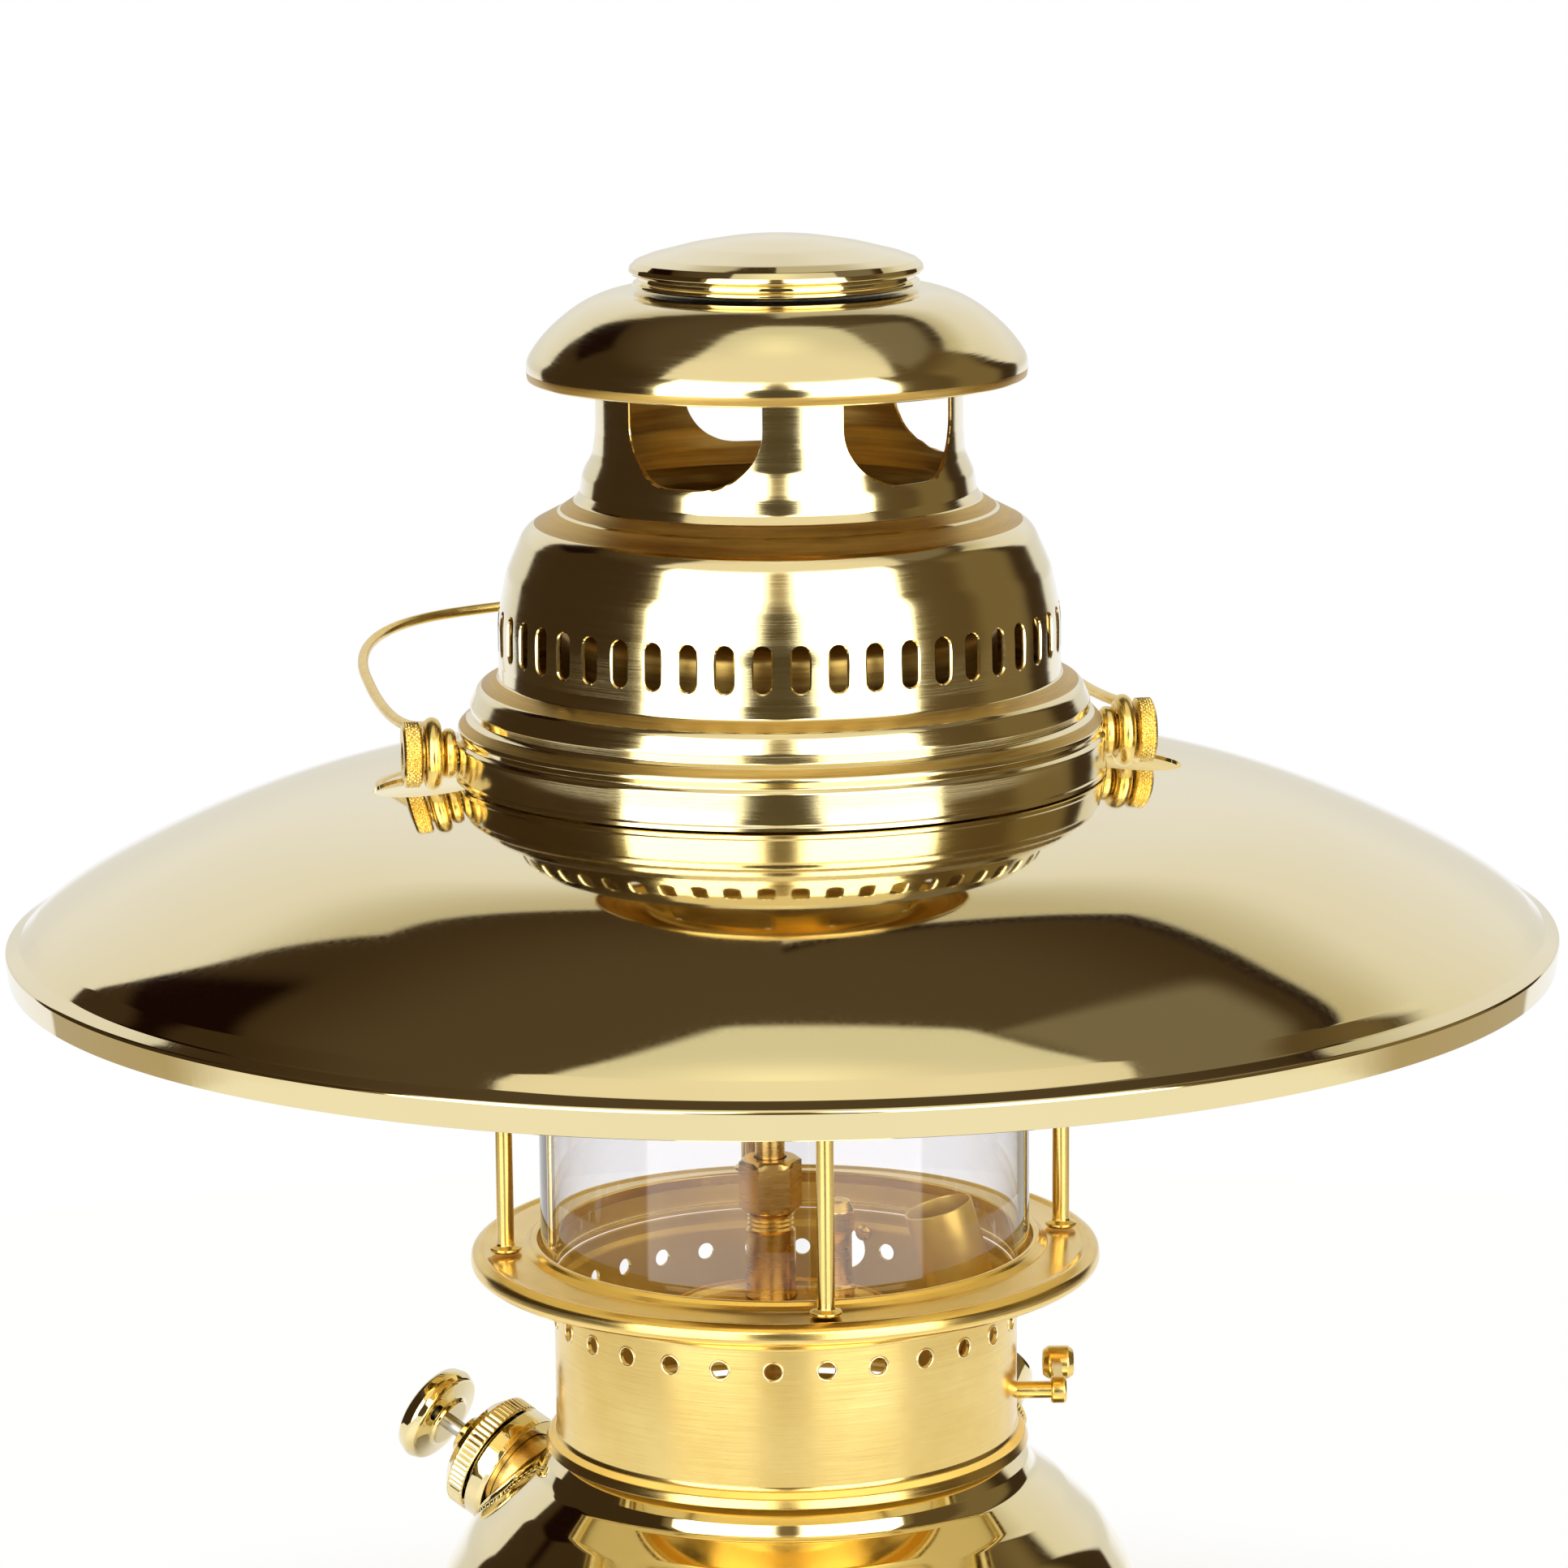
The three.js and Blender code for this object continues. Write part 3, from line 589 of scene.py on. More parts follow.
def clear_glass():
    n = Nodes("clear_glass", Roughness=0.0, IOR=1.47, Base_Color=(0.975, 0.97, 0.985, 1),
              Transmission_Weight=1.0, Specular_IOR_Level=0.17)
    n.bump(n.noise(9, 1), 0.02, 0.0002)
    # light that bounces inside the lantern passes straight through the thin wall
    path = n.add("ShaderNodeLightPath")
    bounced = n.add("ShaderNodeMath", operation="MAXIMUM")
    n.link(path.outputs["Is Glossy Ray"], bounced.inputs[0])
    n.link(path.outputs["Is Diffuse Ray"], bounced.inputs[1])
    outside = n.add("ShaderNodeMath", operation="GREATER_THAN")
    n.link(bounced.outputs[0], outside.inputs[0])
    n.link(path.outputs["Is Transmission Ray"], outside.inputs[1])
    through = n.add("ShaderNodeBsdfTransparent")
    pick = n.add("ShaderNodeMixShader")
    n.link(outside.outputs[0], pick.inputs["Fac"])
    n.link(n.surface.outputs["BSDF"], pick.inputs[1])
    n.link(through.outputs["BSDF"], pick.inputs[2])
    n.link(pick.outputs["Shader"], n.tree.nodes["Material Output"].inputs["Surface"])
    return n.material


def black_rubber():
    n = Nodes("black_rubber", Roughness=0.72)
    n.colour(n.noise(90, 4), (0.012, 0.012, 0.012), (0.035, 0.034, 0.033))
    n.bump(n.noise(600, 4), 0.2, 0.0002)
    return n.material


def leather():
    n = Nodes("oiled_leather", Roughness=0.6)
    n.colour(n.noise(80, 5), (0.07, 0.035, 0.015), (0.16, 0.085, 0.04))
    n.bump(n.noise(500, 5), 0.5, 0.0003)
    return n.material


def ceramic():
    n = Nodes("unglazed_ceramic", Roughness=0.75)
    n.colour(n.noise(60, 5), (0.70, 0.67, 0.58), (0.82, 0.80, 0.73))
    n.bump(n.noise(420, 5), 0.3, 0.0003)
    return n.material


def mantle_cloth():
    """Knitted sock: a lattice of threads from two crossing wave textures."""
    n = Nodes("mantle_cloth", Roughness=0.95, Sheen_Weight=0.4)
    coord = n.add("ShaderNodeTexCoord")
    waves = []
    for axis in ("Z", "X"):
        wave = n.add("ShaderNodeTexWave", bands_direction=axis)
        wave.inputs["Scale"].default_value = 190
        wave.inputs["Distortion"].default_value = 1.5
        n.link(coord.outputs["Object"], wave.inputs["Vector"])
        waves.append(wave.outputs["Fac"])
    both = n.add("ShaderNodeMath", operation="ADD")
    n.link(waves[0], both.inputs[0])
    n.link(waves[1], both.inputs[1])
    n.colour(n.range(both.outputs[0], 0, 1, 0.4, 1.6), (0.55, 0.54, 0.50), (0.9, 0.89, 0.85))
    n.bump(both.outputs[0], 0.6, 0.0004)
    return n.material


def dial_enamel():
    n = Nodes("dial_enamel", Roughness=0.4)
    n.colour(n.noise(40, 3), (0.86, 0.85, 0.80), (0.91, 0.90, 0.86))
    return n.material


def black_paint():
    n = Nodes("black_paint", Roughness=0.45)
    n.colour(n.noise(300, 3), (0.01, 0.01, 0.01), (0.03, 0.03, 0.03))
    return n.material


POLISHED = polished_brass()
SPUN = spun_brass()
RAW = raw_brass()
SATIN = satin_brass()
BRUSHED = brushed_brass()
MACHINED = machined_brass()
ETCHED = etched_brass()
STEEL = steel()
GLASS = clear_glass()
RUBBER = black_rubber()
LEATHER = leather()
CERAMIC = ceramic()
CLOTH = mantle_cloth()
ENAMEL = dial_enamel()
BLACK = black_paint()


# ---------- shade ----------

def shade_outline():
    """Rolled lip, then the top surface from the lip to the hole, built from its slope at a few radii."""
    slopes = smooth([
        (61, 5.0), (80, 8.5), (100, 14.5), (112, 21.5), (122, 30.5), (135, 40), (148, 46.7),
        (160, 53.5), (168, 64), (173.2, 80),
    ], 1.5)
    height = RIM_Z + 43.9
    dome = [(slopes[0][0], height)]
    for (r, slope), (next_r, next_slope) in zip(slopes, slopes[1:]):
        height -= (next_r - r) * (slope + next_slope) / 200
        dome.append((next_r, height))
    lip_r = SHADE_R - 0.2
    lip = rounded([
        (lip_r - 0.7, RIM_Z + 0.4), (lip_r, RIM_Z + 6.4, 0.9), (176.4, RIM_Z + 8.0, 1.8), dome[-1],
    ])
    return lip[:-1] + dome[::-1]


def build_shade():
    outer = shade_outline()
    obj = turned("wide_shade", sheet(outer, 0.9), 320)
    opening = spin([(0, RIM_Z), (OPENING_R, RIM_Z), (OPENING_R, HOOD_Z + 10), (0, HOOD_Z + 10)], MEDIUM)
    carve(obj, [moved(opening, upright(side * OPENING_X, 0)) for side in (-1, 1)])
    true_normals(obj, outer)
    finish_piece(obj, POLISHED, "frame", "shade")


# ---------- hood ----------

def hood_outline():
    z = HOOD_Z
    neck_r = 42.6
    return rounded([
        (HOOD_R + 0.3, z + 0.3), (HOOD_R + 0.3, z + 0.9, 0.3), (HOOD_R - 0.1, z + 1.4, 0.4),
        (HOOD_R, z + 8.4, 0.9), (74.2, z + 9.3, 0.5), (74.8, z + 11.2, 1.2), (72.6, z + 13.6, 1.0),
        (71.4, z + 14.3, 0.5), (71.7, z + 16.4, 1.6), (69.9, z + 20.4, 3.0), (66.9, z + 22.0, 1.0),
        (65.1, z + 23.0, 0.7), (64.9, z + 26, 2), (64.9, z + 37, 26), (62.7, z + 47.6, 14),
        (58.6, z + 57.0, 7.5), (50.5, z + 61.2, 8), (46.9, z + 63.6, 1.4), (45.6, z + 65.6, 1.2),
        (45.0, z + 69.5, 6), (42.9, z + 74.5, 6), (neck_r, z + 80, 8), (neck_r, CAP_Z + 15.6),
    ], 9)


def flared_bar(ring, outline, start, end, azimuth, z):
    """Bar with the section ring (across, up) that widens where it passes the outline's surface, which
    leaves a small chamfer round the hole."""
    chamfer = 0.32
    line = np.array(outline, float)
    centre = np.mean(np.array(ring), axis=0)
    wide = []
    count = len(ring)
    for k, (across, up) in enumerate(ring):
        before, after = ring[k - 1], ring[(k + 1) % count]
        run = Vector((after[0] - before[0], after[1] - before[1])).normalized()
        normal = Vector((run.y, -run.x))
        if normal.dot(Vector((across, up)) - Vector(centre)) < 0:
            normal = -normal
        wide.append((across + normal.x * chamfer * 1.5, up + normal.y * chamfer * 1.5))
    rows = [[], [], [], []]
    for (across, up), (wide_across, wide_up) in zip(ring, wide):
        wall = line[np.abs(line[:, 1] - z - up).argmin()][0]
        face = math.sqrt(max(wall ** 2 - across ** 2, 1))
        rows[0].append((start, across, up))
        rows[1].append((face - chamfer, across, up))
        rows[2].append((face + chamfer * 0.5, wide_across, wide_up))
        rows[3].append((end, wide_across, wide_up))
    verts = [(x * MM, y * MM, (z + up) * MM) for row in rows for x, y, up in row]
    faces = [list(range(count))[::-1], [3 * count + k for k in range(count)]]
    for row in range(3):
        for k in range(count):
            n = (k + 1) % count
            here, above = row * count, (row + 1) * count
            faces.append([here + k, here + n, above + n, above + k])
    return moved((verts, faces), Matrix.Rotation(math.radians(azimuth), 4, "Z"))


def slot_shape(azimuth, z, outline):
    """Upright slot with round ends, as a bar pointing outwards."""
    half_width = 2.0
    half_height = 5.25
    straight = half_height - half_width
    ring = arc((0, straight), half_width, 0, 1, 12) + arc((0, -straight), half_width, 1, 2, 12)
    return flared_bar(ring, outline, 58, 70, azimuth, z)


def window_shape(azimuth, outline):
    """Large window in the neck, with round lower corners and its top under the cap."""
    half_width = 16.9
    top = CAP_Z + 8
    bottom = CAP_Z - 20.6
    corner = 13.5
    ring = [(half_width, top), (-half_width, top)]
    ring += arc((corner - half_width, bottom + corner), corner, 1, 1.5, 16)
    ring += arc((half_width - corner, bottom + corner), corner, 1.5, 2, 16)
    return flared_bar(ring, outline, 26, 60, azimuth, 0)


def bar_shape(ring, start, end, azimuth, z):
    """Bar whose section is ring (across, up), running outwards from start to end."""
    verts = []
    for reach in (start, end):
        verts += [(reach * MM, y * MM, (z + up) * MM) for y, up in ring]
    count = len(ring)
    faces = [list(range(count))[::-1], [count + k for k in range(count)]]
    for k in range(count):
        n = (k + 1) % count
        faces.append([k, n, count + n, count + k])
    return moved((verts, faces), Matrix.Rotation(math.radians(azimuth), 4, "Z"))


def round_bar(radius, start, end, azimuth, z, sides=32):
    return bar_shape(arc((0, 0), radius, 0, 2, sides)[:-1], start, end, azimuth, z)


def build_hood():
    outer = hood_outline()
    obj = turned("vented_hood", sheet(outer, PRESSED), 288)
    slot_z = RIM_Z + SLOT_RISE
    cutters = [slot_shape((k + 0.5) * 360 / SLOTS, slot_z, outer) for k in range(SLOTS)]
    cutters += [window_shape(WINDOW_START + k * 360 / WINDOWS, outer) for k in range(WINDOWS)]
    # notches in the foot let the hood lift off over the trunnions
    notch_r = 2.7
    notch = [(notch_r, HOOD_Z - 1)] + arc((0, PIVOT_Z), notch_r, 0, 1, 12) + [(-notch_r, HOOD_Z - 1)]
    cutters += [bar_shape(notch, 66, 84, azimuth, 0) for azimuth in (0, 180)]
    carve(obj, cutters)
    true_normals(obj, outer)
    finish_piece(obj, SPUN, "hood", "hood_body")
    rough_inside(obj, outer, RAW)


def second_look(obj, look, chosen):
    """Gives a second material to the faces for which chosen(radius, centre, normal) is true."""
    obj.data.materials.append(look)
    for poly in obj.data.polygons:
        centre = poly.center / MM
        if chosen(math.hypot(centre.x, centre.y), centre, poly.normal):
            poly.material_index = 1


def rough_inside(obj, outer, look):
    """The inner face of the pressing is left unpolished."""
    p = np.array(outer, float)

    def inner_face(radius, centre, normal):
        outwards = Vector((centre.x, centre.y, 0)).normalized()
        gap = np.hypot(p[:, 0] - radius, p[:, 1] - centre.z).min()
        return gap > 0.55 and normal.dot(outwards) < 0.75

    second_look(obj, look, inner_face)


def build_cap():
    outer = rounded([(CAP_R - 0.3, CAP_Z + 0.35), (CAP_R, CAP_Z + 2.2)])[:-1] + smooth([
        (CAP_R, CAP_Z + 2.2), (57.2, CAP_Z + 4.6), (55.4, CAP_Z + 7.6), (52.9, CAP_Z + 10.6),
        (50, CAP_Z + 13.3), (46, CAP_Z + 16.3), (42, CAP_Z + 18.4), (37, CAP_Z + 19.9),
        (30, CAP_Z + 20.3),
    ], 0.7) + rounded([(29, CAP_Z + 20.3), (4.6, CAP_Z + 20.4)])
    obj = turned("mushroom_cap_shell", sheet(outer, PRESSED), FINE)
    finish_piece(obj, SPUN, "hood", "mushroom_cap")
    p = np.array(outer, float)

    def underside(radius, centre, normal):
        gap = np.hypot(p[:, 0] - radius, p[:, 1] - centre.z).min()
        return gap > 0.5 and normal.z < 0.2

    second_look(obj, RAW, underside)
    z = CAP_Z + 21.1
    outline = rounded([
        (0, z), (32.2, z), (32.8, z + 0.3, 0.3), (32.8, z + 0.9, 0.3), (31.4, z + 1.4, 0.4),
        (31.4, z + 2.6, 0.4), (33.2, z + 2.9, 0.3), (33.8, z + 3.5, 0.5), (33.5, z + 4.6, 0.6),
        (32.2, z + 5.8, 1.2), (29, z + 7.0, 8), (20, TOP_Z - 2.3, 30), (10, TOP_Z - 0.6, 60),
        (0, TOP_Z),
    ], 9)
    turned_piece("round_button", outline, FINE, HERE, POLISHED, "hood", "cap_button")
    nut = new_object("cap_fixing_nut", *prism(6, 7.4, low("cap_nut").z, CAP_Z + 19.4, 1.5, 0.4))
    finish_piece(nut, MACHINED, "hood", "cap_nut")


# ---------- trunnions, nuts and bail ----------

def knurl(rows_from, rows_to, count, depth):
    """Diamond knurl: returns a ripple for a nut about its own Z axis between two heights."""
    pitch = 2 * math.pi / count

    def ripple(angle, r, z):
        if not rows_from < z < rows_to:
            return r
        rise = z / 1.15
        a = (angle / pitch + rise) % 1
        b = (angle / pitch - rise) % 1
        groove = min(abs(a - 0.5), abs(b - 0.5)) * 2
        return r - depth * max(0, 1 - groove * 2.2)

    return ripple


def grooves(least_r, count, depth, bottom, top):
    """Upright grooves: returns a ripple for the part of a grip outside least_r, from bottom to top."""
    def ripple(angle, r, z):
        if r < least_r or not bottom < z < top:
            return r
        return r - depth * (0.5 - 0.5 * math.cos(angle * count)) ** 2

    return ripple


def build_side(side):
    name = "right" if side > 0 else "left"
    axis = (side, 0, 0)
    at = about((0, 0, PIVOT_Z), axis)
    reach = HOOD_R + 0.15
    outline = rounded([
        (0, 58.6), (2.2, 58.6), (2.2, reach), (5.0, reach, 0.5), (5.8, reach + 0.9, 0.8),
        (5.8, 77.6, 0.8), (5.0, 78.4, 0.5), (3.9, 78.4), (3.9, 83.1), (2.2, 83.2), (2.2, 86.7, 0.4),
        (1.4, 87.1, 0.4), (0, 87.2),
    ])
    turned_piece(f"trunnion_{name}_turned", outline, SMALL, at, SATIN, "frame", f"trunnion_{name}")
    inner, outer = low("thumb_nut_right").x, high("thumb_nut_right").x
    nut_r = 7.55
    face = [(2.6, inner), (6.8, inner), (nut_r, inner + 0.5)]
    rows = [(nut_r, inner + 0.5 + (outer - inner - 1.0) * k / 22) for k in range(1, 23)]
    back = [(6.8, outer), (3.4, outer), (2.6, outer - 0.6)]
    outline = face + rows + back
    shape = spin(outline, 264, knurl(inner + 0.5, outer - 0.5, 40, 0.42))
    nut = place(new_object(f"knurled_nut_{name}", *shape, 26), at)
    finish_piece(nut, SATIN, f"thumb_nut_{name}", f"thumb_nut_{name}")


def bail_path():
    """Centre line of the bail wire, in metres, as in the frame: two legs and a bow, from eye to eye."""
    lean = math.radians(4)

    def at(across, away, height=0):
        y = away * math.cos(lean) - height * math.sin(lean)
        z = away * math.sin(lean) + height * math.cos(lean)
        return Vector((across, y, PIVOT_Z + z)) * MM

    def stretch(a, b, c, d, steps):
        out = []
        for k in range(1, steps + 1):
            t = k / steps
            u = 1 - t
            out.append(a * u ** 3 + b * 3 * t * u ** 2 + c * 3 * t * t * u + d * t ** 3)
        return out

    start, end = at(-EYE_X, 0.6, EYE_R), at(EYE_X, 0.6, EYE_R)
    left, right = at(-90.4, 72), at(76.8, 88)
    left_top, right_top = at(-65, 140.5), at(50, 146)
    path = [start]
    path += stretch(start, at(-81.5, 12, 4), at(-88.6, 14), left, 36)
    path += stretch(left, at(-92, 105), at(-85, 130), left_top, 32)
    path += stretch(left_top, at(-30, 158), at(20, 162), right_top, 32)
    path += stretch(right_top, at(70, 139), at(76.8, 116), right, 32)
    path += stretch(right, at(76.8, 50), at(77.4, 14, 5), end, 36)
    return path


def bail_eye(side):
    ring = arc((EYE_R, 0), EYE_WIRE_R, 0, 2, 28)[:-1]
    return moved(spin(ring, SMALL), about((side * EYE_X, 0, PIVOT_Z), (1, 0, 0)))


def build_bail():
    wire = sweep(bail_path(), 1.28 * MM, 20)
    obj = new_object("bail_wire", *merged(wire, bail_eye(-1), bail_eye(1)), 60)
    finish_piece(obj, SATIN, "bail", "bail")


# ---------- gallery, skirt, rods and glass ----------

def build_gallery():
    z = SHELF_Z
    outline = rounded([
        (55.3, z - 6.4), (59.0, z - 6.4, 0.4), (59.4, z - 0.6, 1.2), (62, z - 0.5, 1),
        (69.6, z - 1.2, 1.5), (71.0, z - 4.4, 1.0), (72.4, z - 4.9, 1.2), (GALLERY_R, z - 3.6, 1.6),
        (73.8, z - 0.8, 1.8), (71.6, z + 0.5, 1.6), (69.6, z - 0.1, 1.2), (61.6, z + 0.3, 1.0),
        (60.3, z + 1.2, 0.6), (59.6, z + 2.1, 0.7), (58.3, z + 2.1, 0.6), (58.0, z - 5.3, 0.4),
        (55.3, z - 5.4, 0.2), (55.3, z - 6.4),
    ], 8)
    obj = turned("gallery_dish", outline, FINE)
    finish_piece(obj, BRUSHED, "frame", "gallery_ring")
    # the bore under the glass is left matt
    second_look(obj, ETCHED, lambda radius, centre, normal: radius < 58.2)


def build_skirt():
    bottom = DECK_Z + 0.7
    top = SHELF_Z - 6.7
    hole_z = SHELF_Z - 16
    outer = rounded([
        (SKIRT_R + 2.6, bottom, 0), (SKIRT_R + 2.0, bottom + 1.6, 1.2), (SKIRT_R, bottom + 3.4, 1.6),
        (SKIRT_R, top - 4.2, 1.0), (SKIRT_R + 0.9, top - 2.8, 0.8), (SKIRT_R + 0.9, top - 1.6, 0.5),
        (SKIRT_R + 0.6, top),
    ])
    obj = turned("perforated_skirt", sheet(outer, PRESSED), 280)
    first = MATCH_HOLE + (360 - (SKIRT_HOLES - 1) * HOLE_STEP) / 2
    azimuths = [first + k * HOLE_STEP for k in range(SKIRT_HOLES)]
    cutters = [round_bar(2.05, 48, 60, azimuth, hole_z) for azimuth in azimuths]
    cutters.append(round_bar(5.1, 48, 60, MATCH_HOLE, hole_z, SMALL))
    cutters.append(round_bar(3.1, 48, 62, 90, SPINDLE_Z))
    riser = middle("preheater_riser")
    lever_azimuth = math.degrees(math.atan2(riser.y, riser.x))
    cutters.append(round_bar(2.4, 48, 62, lever_azimuth, middle("preheater_lever").z))
    carve(obj, cutters)
    true_normals(obj, outer)
    finish_piece(obj, BRUSHED, "frame", "gallery_skirt")
    rough_inside(obj, outer, ETCHED)
    # eyelet rims round the holes, as the punch leaves them
    rims = [eyelet(2.25, 0.28, SKIRT_R, azimuth, hole_z) for azimuth in azimuths]
    rims.append(eyelet(5.3, 0.34, SKIRT_R, MATCH_HOLE, hole_z))
    rim = new_object("skirt_hole_rims", *merged(*rims), 60)
    finish_piece(rim, POLISHED, "frame")


def eyelet(radius, wire, wall, azimuth, z):
    """Small rounded rim that follows the curved wall round a hole."""
    steps = 28
    points = []
    for k in range(steps):
        angle = 2 * math.pi * k / steps
        across = radius * math.cos(angle)
        points.append((math.sqrt(wall ** 2 - across ** 2), across, z + radius * math.sin(angle)))
    sides = 8
    verts, faces = [], []
    for k, (x, y, up) in enumerate(points):
        angle = 2 * math.pi * k / steps
        for j in range(sides):
            turn = 2 * math.pi * j / sides
            wide = wire * math.sin(turn)
            corner = (x + wire * math.cos(turn), y + wide * math.cos(angle), up + wide * math.sin(angle))
            verts.append(Vector(corner) * MM)
    for k in range(steps):
        n = (k + 1) % steps
        for j in range(sides):
            m = (j + 1) % sides
            faces.append([k * sides + j, n * sides + j, n * sides + m, k * sides + m][::-1])
    return moved((verts, faces), Matrix.Rotation(math.radians(azimuth), 4, "Z"))


def build_rods():
    for side in ("right", "back", "left", "front"):
        node = f"rod_{side}"
        centre = middle(node)
        bottom, top = low(node).z, high(node).z
        outline = rounded([
            (0, bottom - 0.6), (3.3, bottom - 0.6), (3.7, bottom - 0.2, 0.3), (3.7, bottom + 0.4, 0.4),
            (2.2, bottom + 0.8, 0.3), (2.0, bottom + 1.3, 0.3), (2.0, top), (0, top),
        ])
        at = upright(centre.x, centre.y)
        turned_piece(f"frame_{node}", outline, SMALL, at, BRUSHED, "frame", node)


def build_glass():
    bottom, top = low("glass").z, high("glass").z
    inner = GLASS_R - GLASS_WALL
    outline = rounded([
        (inner, bottom), (inner, bottom, 0), (GLASS_R, bottom, 0.9), (GLASS_R, top, 0.9),
        (inner, top, 0.9), (inner, bottom),
    ])
    turned_piece("glass_cylinder", outline, FINE, HERE, GLASS, "frame", "glass")


def build_upper_ring():
    z = low("upper_ring").z
    outline = rounded([
        (57.3, z), (68.2, z), (68.6, z + 0.15, 0.15), (68.6, z + 0.6, 0.15), (60.2, z + 0.7, 1.2),
        (58.5, z + 2.6, 1.0), (58.5, z + 13.4, 0.3), (57.3, z + 13.6, 0.3), (57.3, z),
    ])
    turned_piece("upper_frame_ring", outline, FINE, HERE, POLISHED, "frame", "upper_ring")


def screw_outline(radius, head):
    """Outline of a small round-head screw about Z."""
    return rounded([
        (0, 0), (radius * 0.55, 0), (radius * 0.55, 1), (radius, 1.0, 0.2),
        (radius, 1 + head * 0.5, 0.5), (radius * 0.6, 1 + head, 0.8), (0, 1 + head),
    ])


def build_gallery_screw():
    azimuth = math.radians(60)
    inwards = (-math.cos(azimuth), -math.sin(azimuth), 0)
    centre = middle("gallery_screw")
    start = Vector((centre.x, centre.y, centre.z)) - Vector(inwards) * 1.2
    obj = turned("gallery_slotted_screw", screw_outline(2.0, 1.2), THIN)
    carve(obj, [block(-0.3, 0.3, 3, 1.7, 4)])
    place(obj, about(start, inwards, 0.5))
    finish_piece(obj, MACHINED, "frame", "gallery_screw")


# ---------- burner ----------

def threads(radius, bottom, top, pitch, depth):
    """Outline points of a run of rings that reads as a screw thread."""
    out = []
    z = bottom
    while z < top - 1e-6:
        out += [(radius - depth, z), (radius, z + pitch * 0.5)]
        z += pitch
    out.append((radius - depth, top))
    return out


def build_burner():
    at = upright(0, VAPOUR_Y)
    bottom = low("valve_block").z
    top = high("valve_block").z
    outline = rounded([
        (2, bottom), (8, bottom), (8, bottom + 3, 0.5), (6, bottom + 4.4, 1.0), (6, top - 4.6, 0.4),
    ])
    outline += threads(5.7, top - 4.5, top - 0.1, 1.1, 0.45) + [(2, top)]
    turned_piece("valve_block_turned", outline, 64, at, MACHINED, "frame", "valve_block")
    nut_low, nut_high = low("gland_nut").z, high("gland_nut").z
    nut = place(new_object("gland_hex_nut", *prism(6, 15.3, nut_low, nut_high, 4.0, 0.9)), at)
    finish_piece(nut, MACHINED, "frame", "gland_nut")
    tube_low, tube_high = low("vaporizer_tube").z, high("vaporizer_tube").z
    outline = rounded([(1.9, tube_low), (3.6, tube_low), (3.6, tube_high, 0.4), (1.9, tube_high)])
    turned_piece("vaporizer_pipe", outline, SMALL, at, MACHINED, "frame", "vaporizer_tube")
    z = low("jet_nipple").z
    outline = rounded([
        (1.3, z), (4.3, z, 0.3), (4.3, z + 2.6, 0.3), (2.6, z + 5.6, 0.4), (1.3, z + 5.6),
    ])
    turned_piece("jet_tip", outline, SMALL, at, MACHINED, "frame", "jet_nipple")
    z, end = low("needle_rod").z, high("needle_rod").z
    outline = rounded([
        (0, z), (0.75, z), (0.75, end - 3, 0.2), (0.2, end - 2.4, 0.1), (0.15, end), (0, end),
    ])
    turned_piece("cleaning_needle", outline, 20, at, STEEL, "needle", "needle_rod")


def build_tray():
    centre = middle("spirit_tray")
    bottom, top = low("spirit_tray").z, high("spirit_tray").z
    outline = rounded([
        (0, bottom + 0.1), (24.6, bottom + 0.1, 1.2), (26.9, bottom + 1.6, 1.0),
        (26.9, top - 0.2, 0.2), (26.3, top, 0.2), (25.9, bottom + 2.4, 1.0), (24.4, bottom + 1.3, 1.0),
        (0, bottom + 1.3),
    ])
    obj = turned("spirit_dish", outline, MEDIUM)
    place(obj, upright(centre.x, centre.y))
    hole = spin([(0, bottom - 5), (6.4, bottom - 5), (6.4, top + 5), (0, top + 5)], 48)
    carve(obj, [moved(hole, upright(0, VAPOUR_Y))])
    finish_piece(obj, MACHINED, "frame", "spirit_tray")
    post = middle("tray_post")
    z, end = low("tray_post").z, high("tray_post").z
    outline = rounded([
        (0, z), (3.6, z), (3.6, z + 2.5, 0.3), (3.0, z + 3.2, 0.4), (3.0, end - 9),
        (3.6, end - 8, 0.5), (3.6, end - 3.4, 1.0), (2.4, end - 0.8, 1.2), (0, end),
    ])
    at = upright(post.x, post.y)
    turned_piece("tray_post_turned", outline, SMALL, at, MACHINED, "frame", "tray_post")


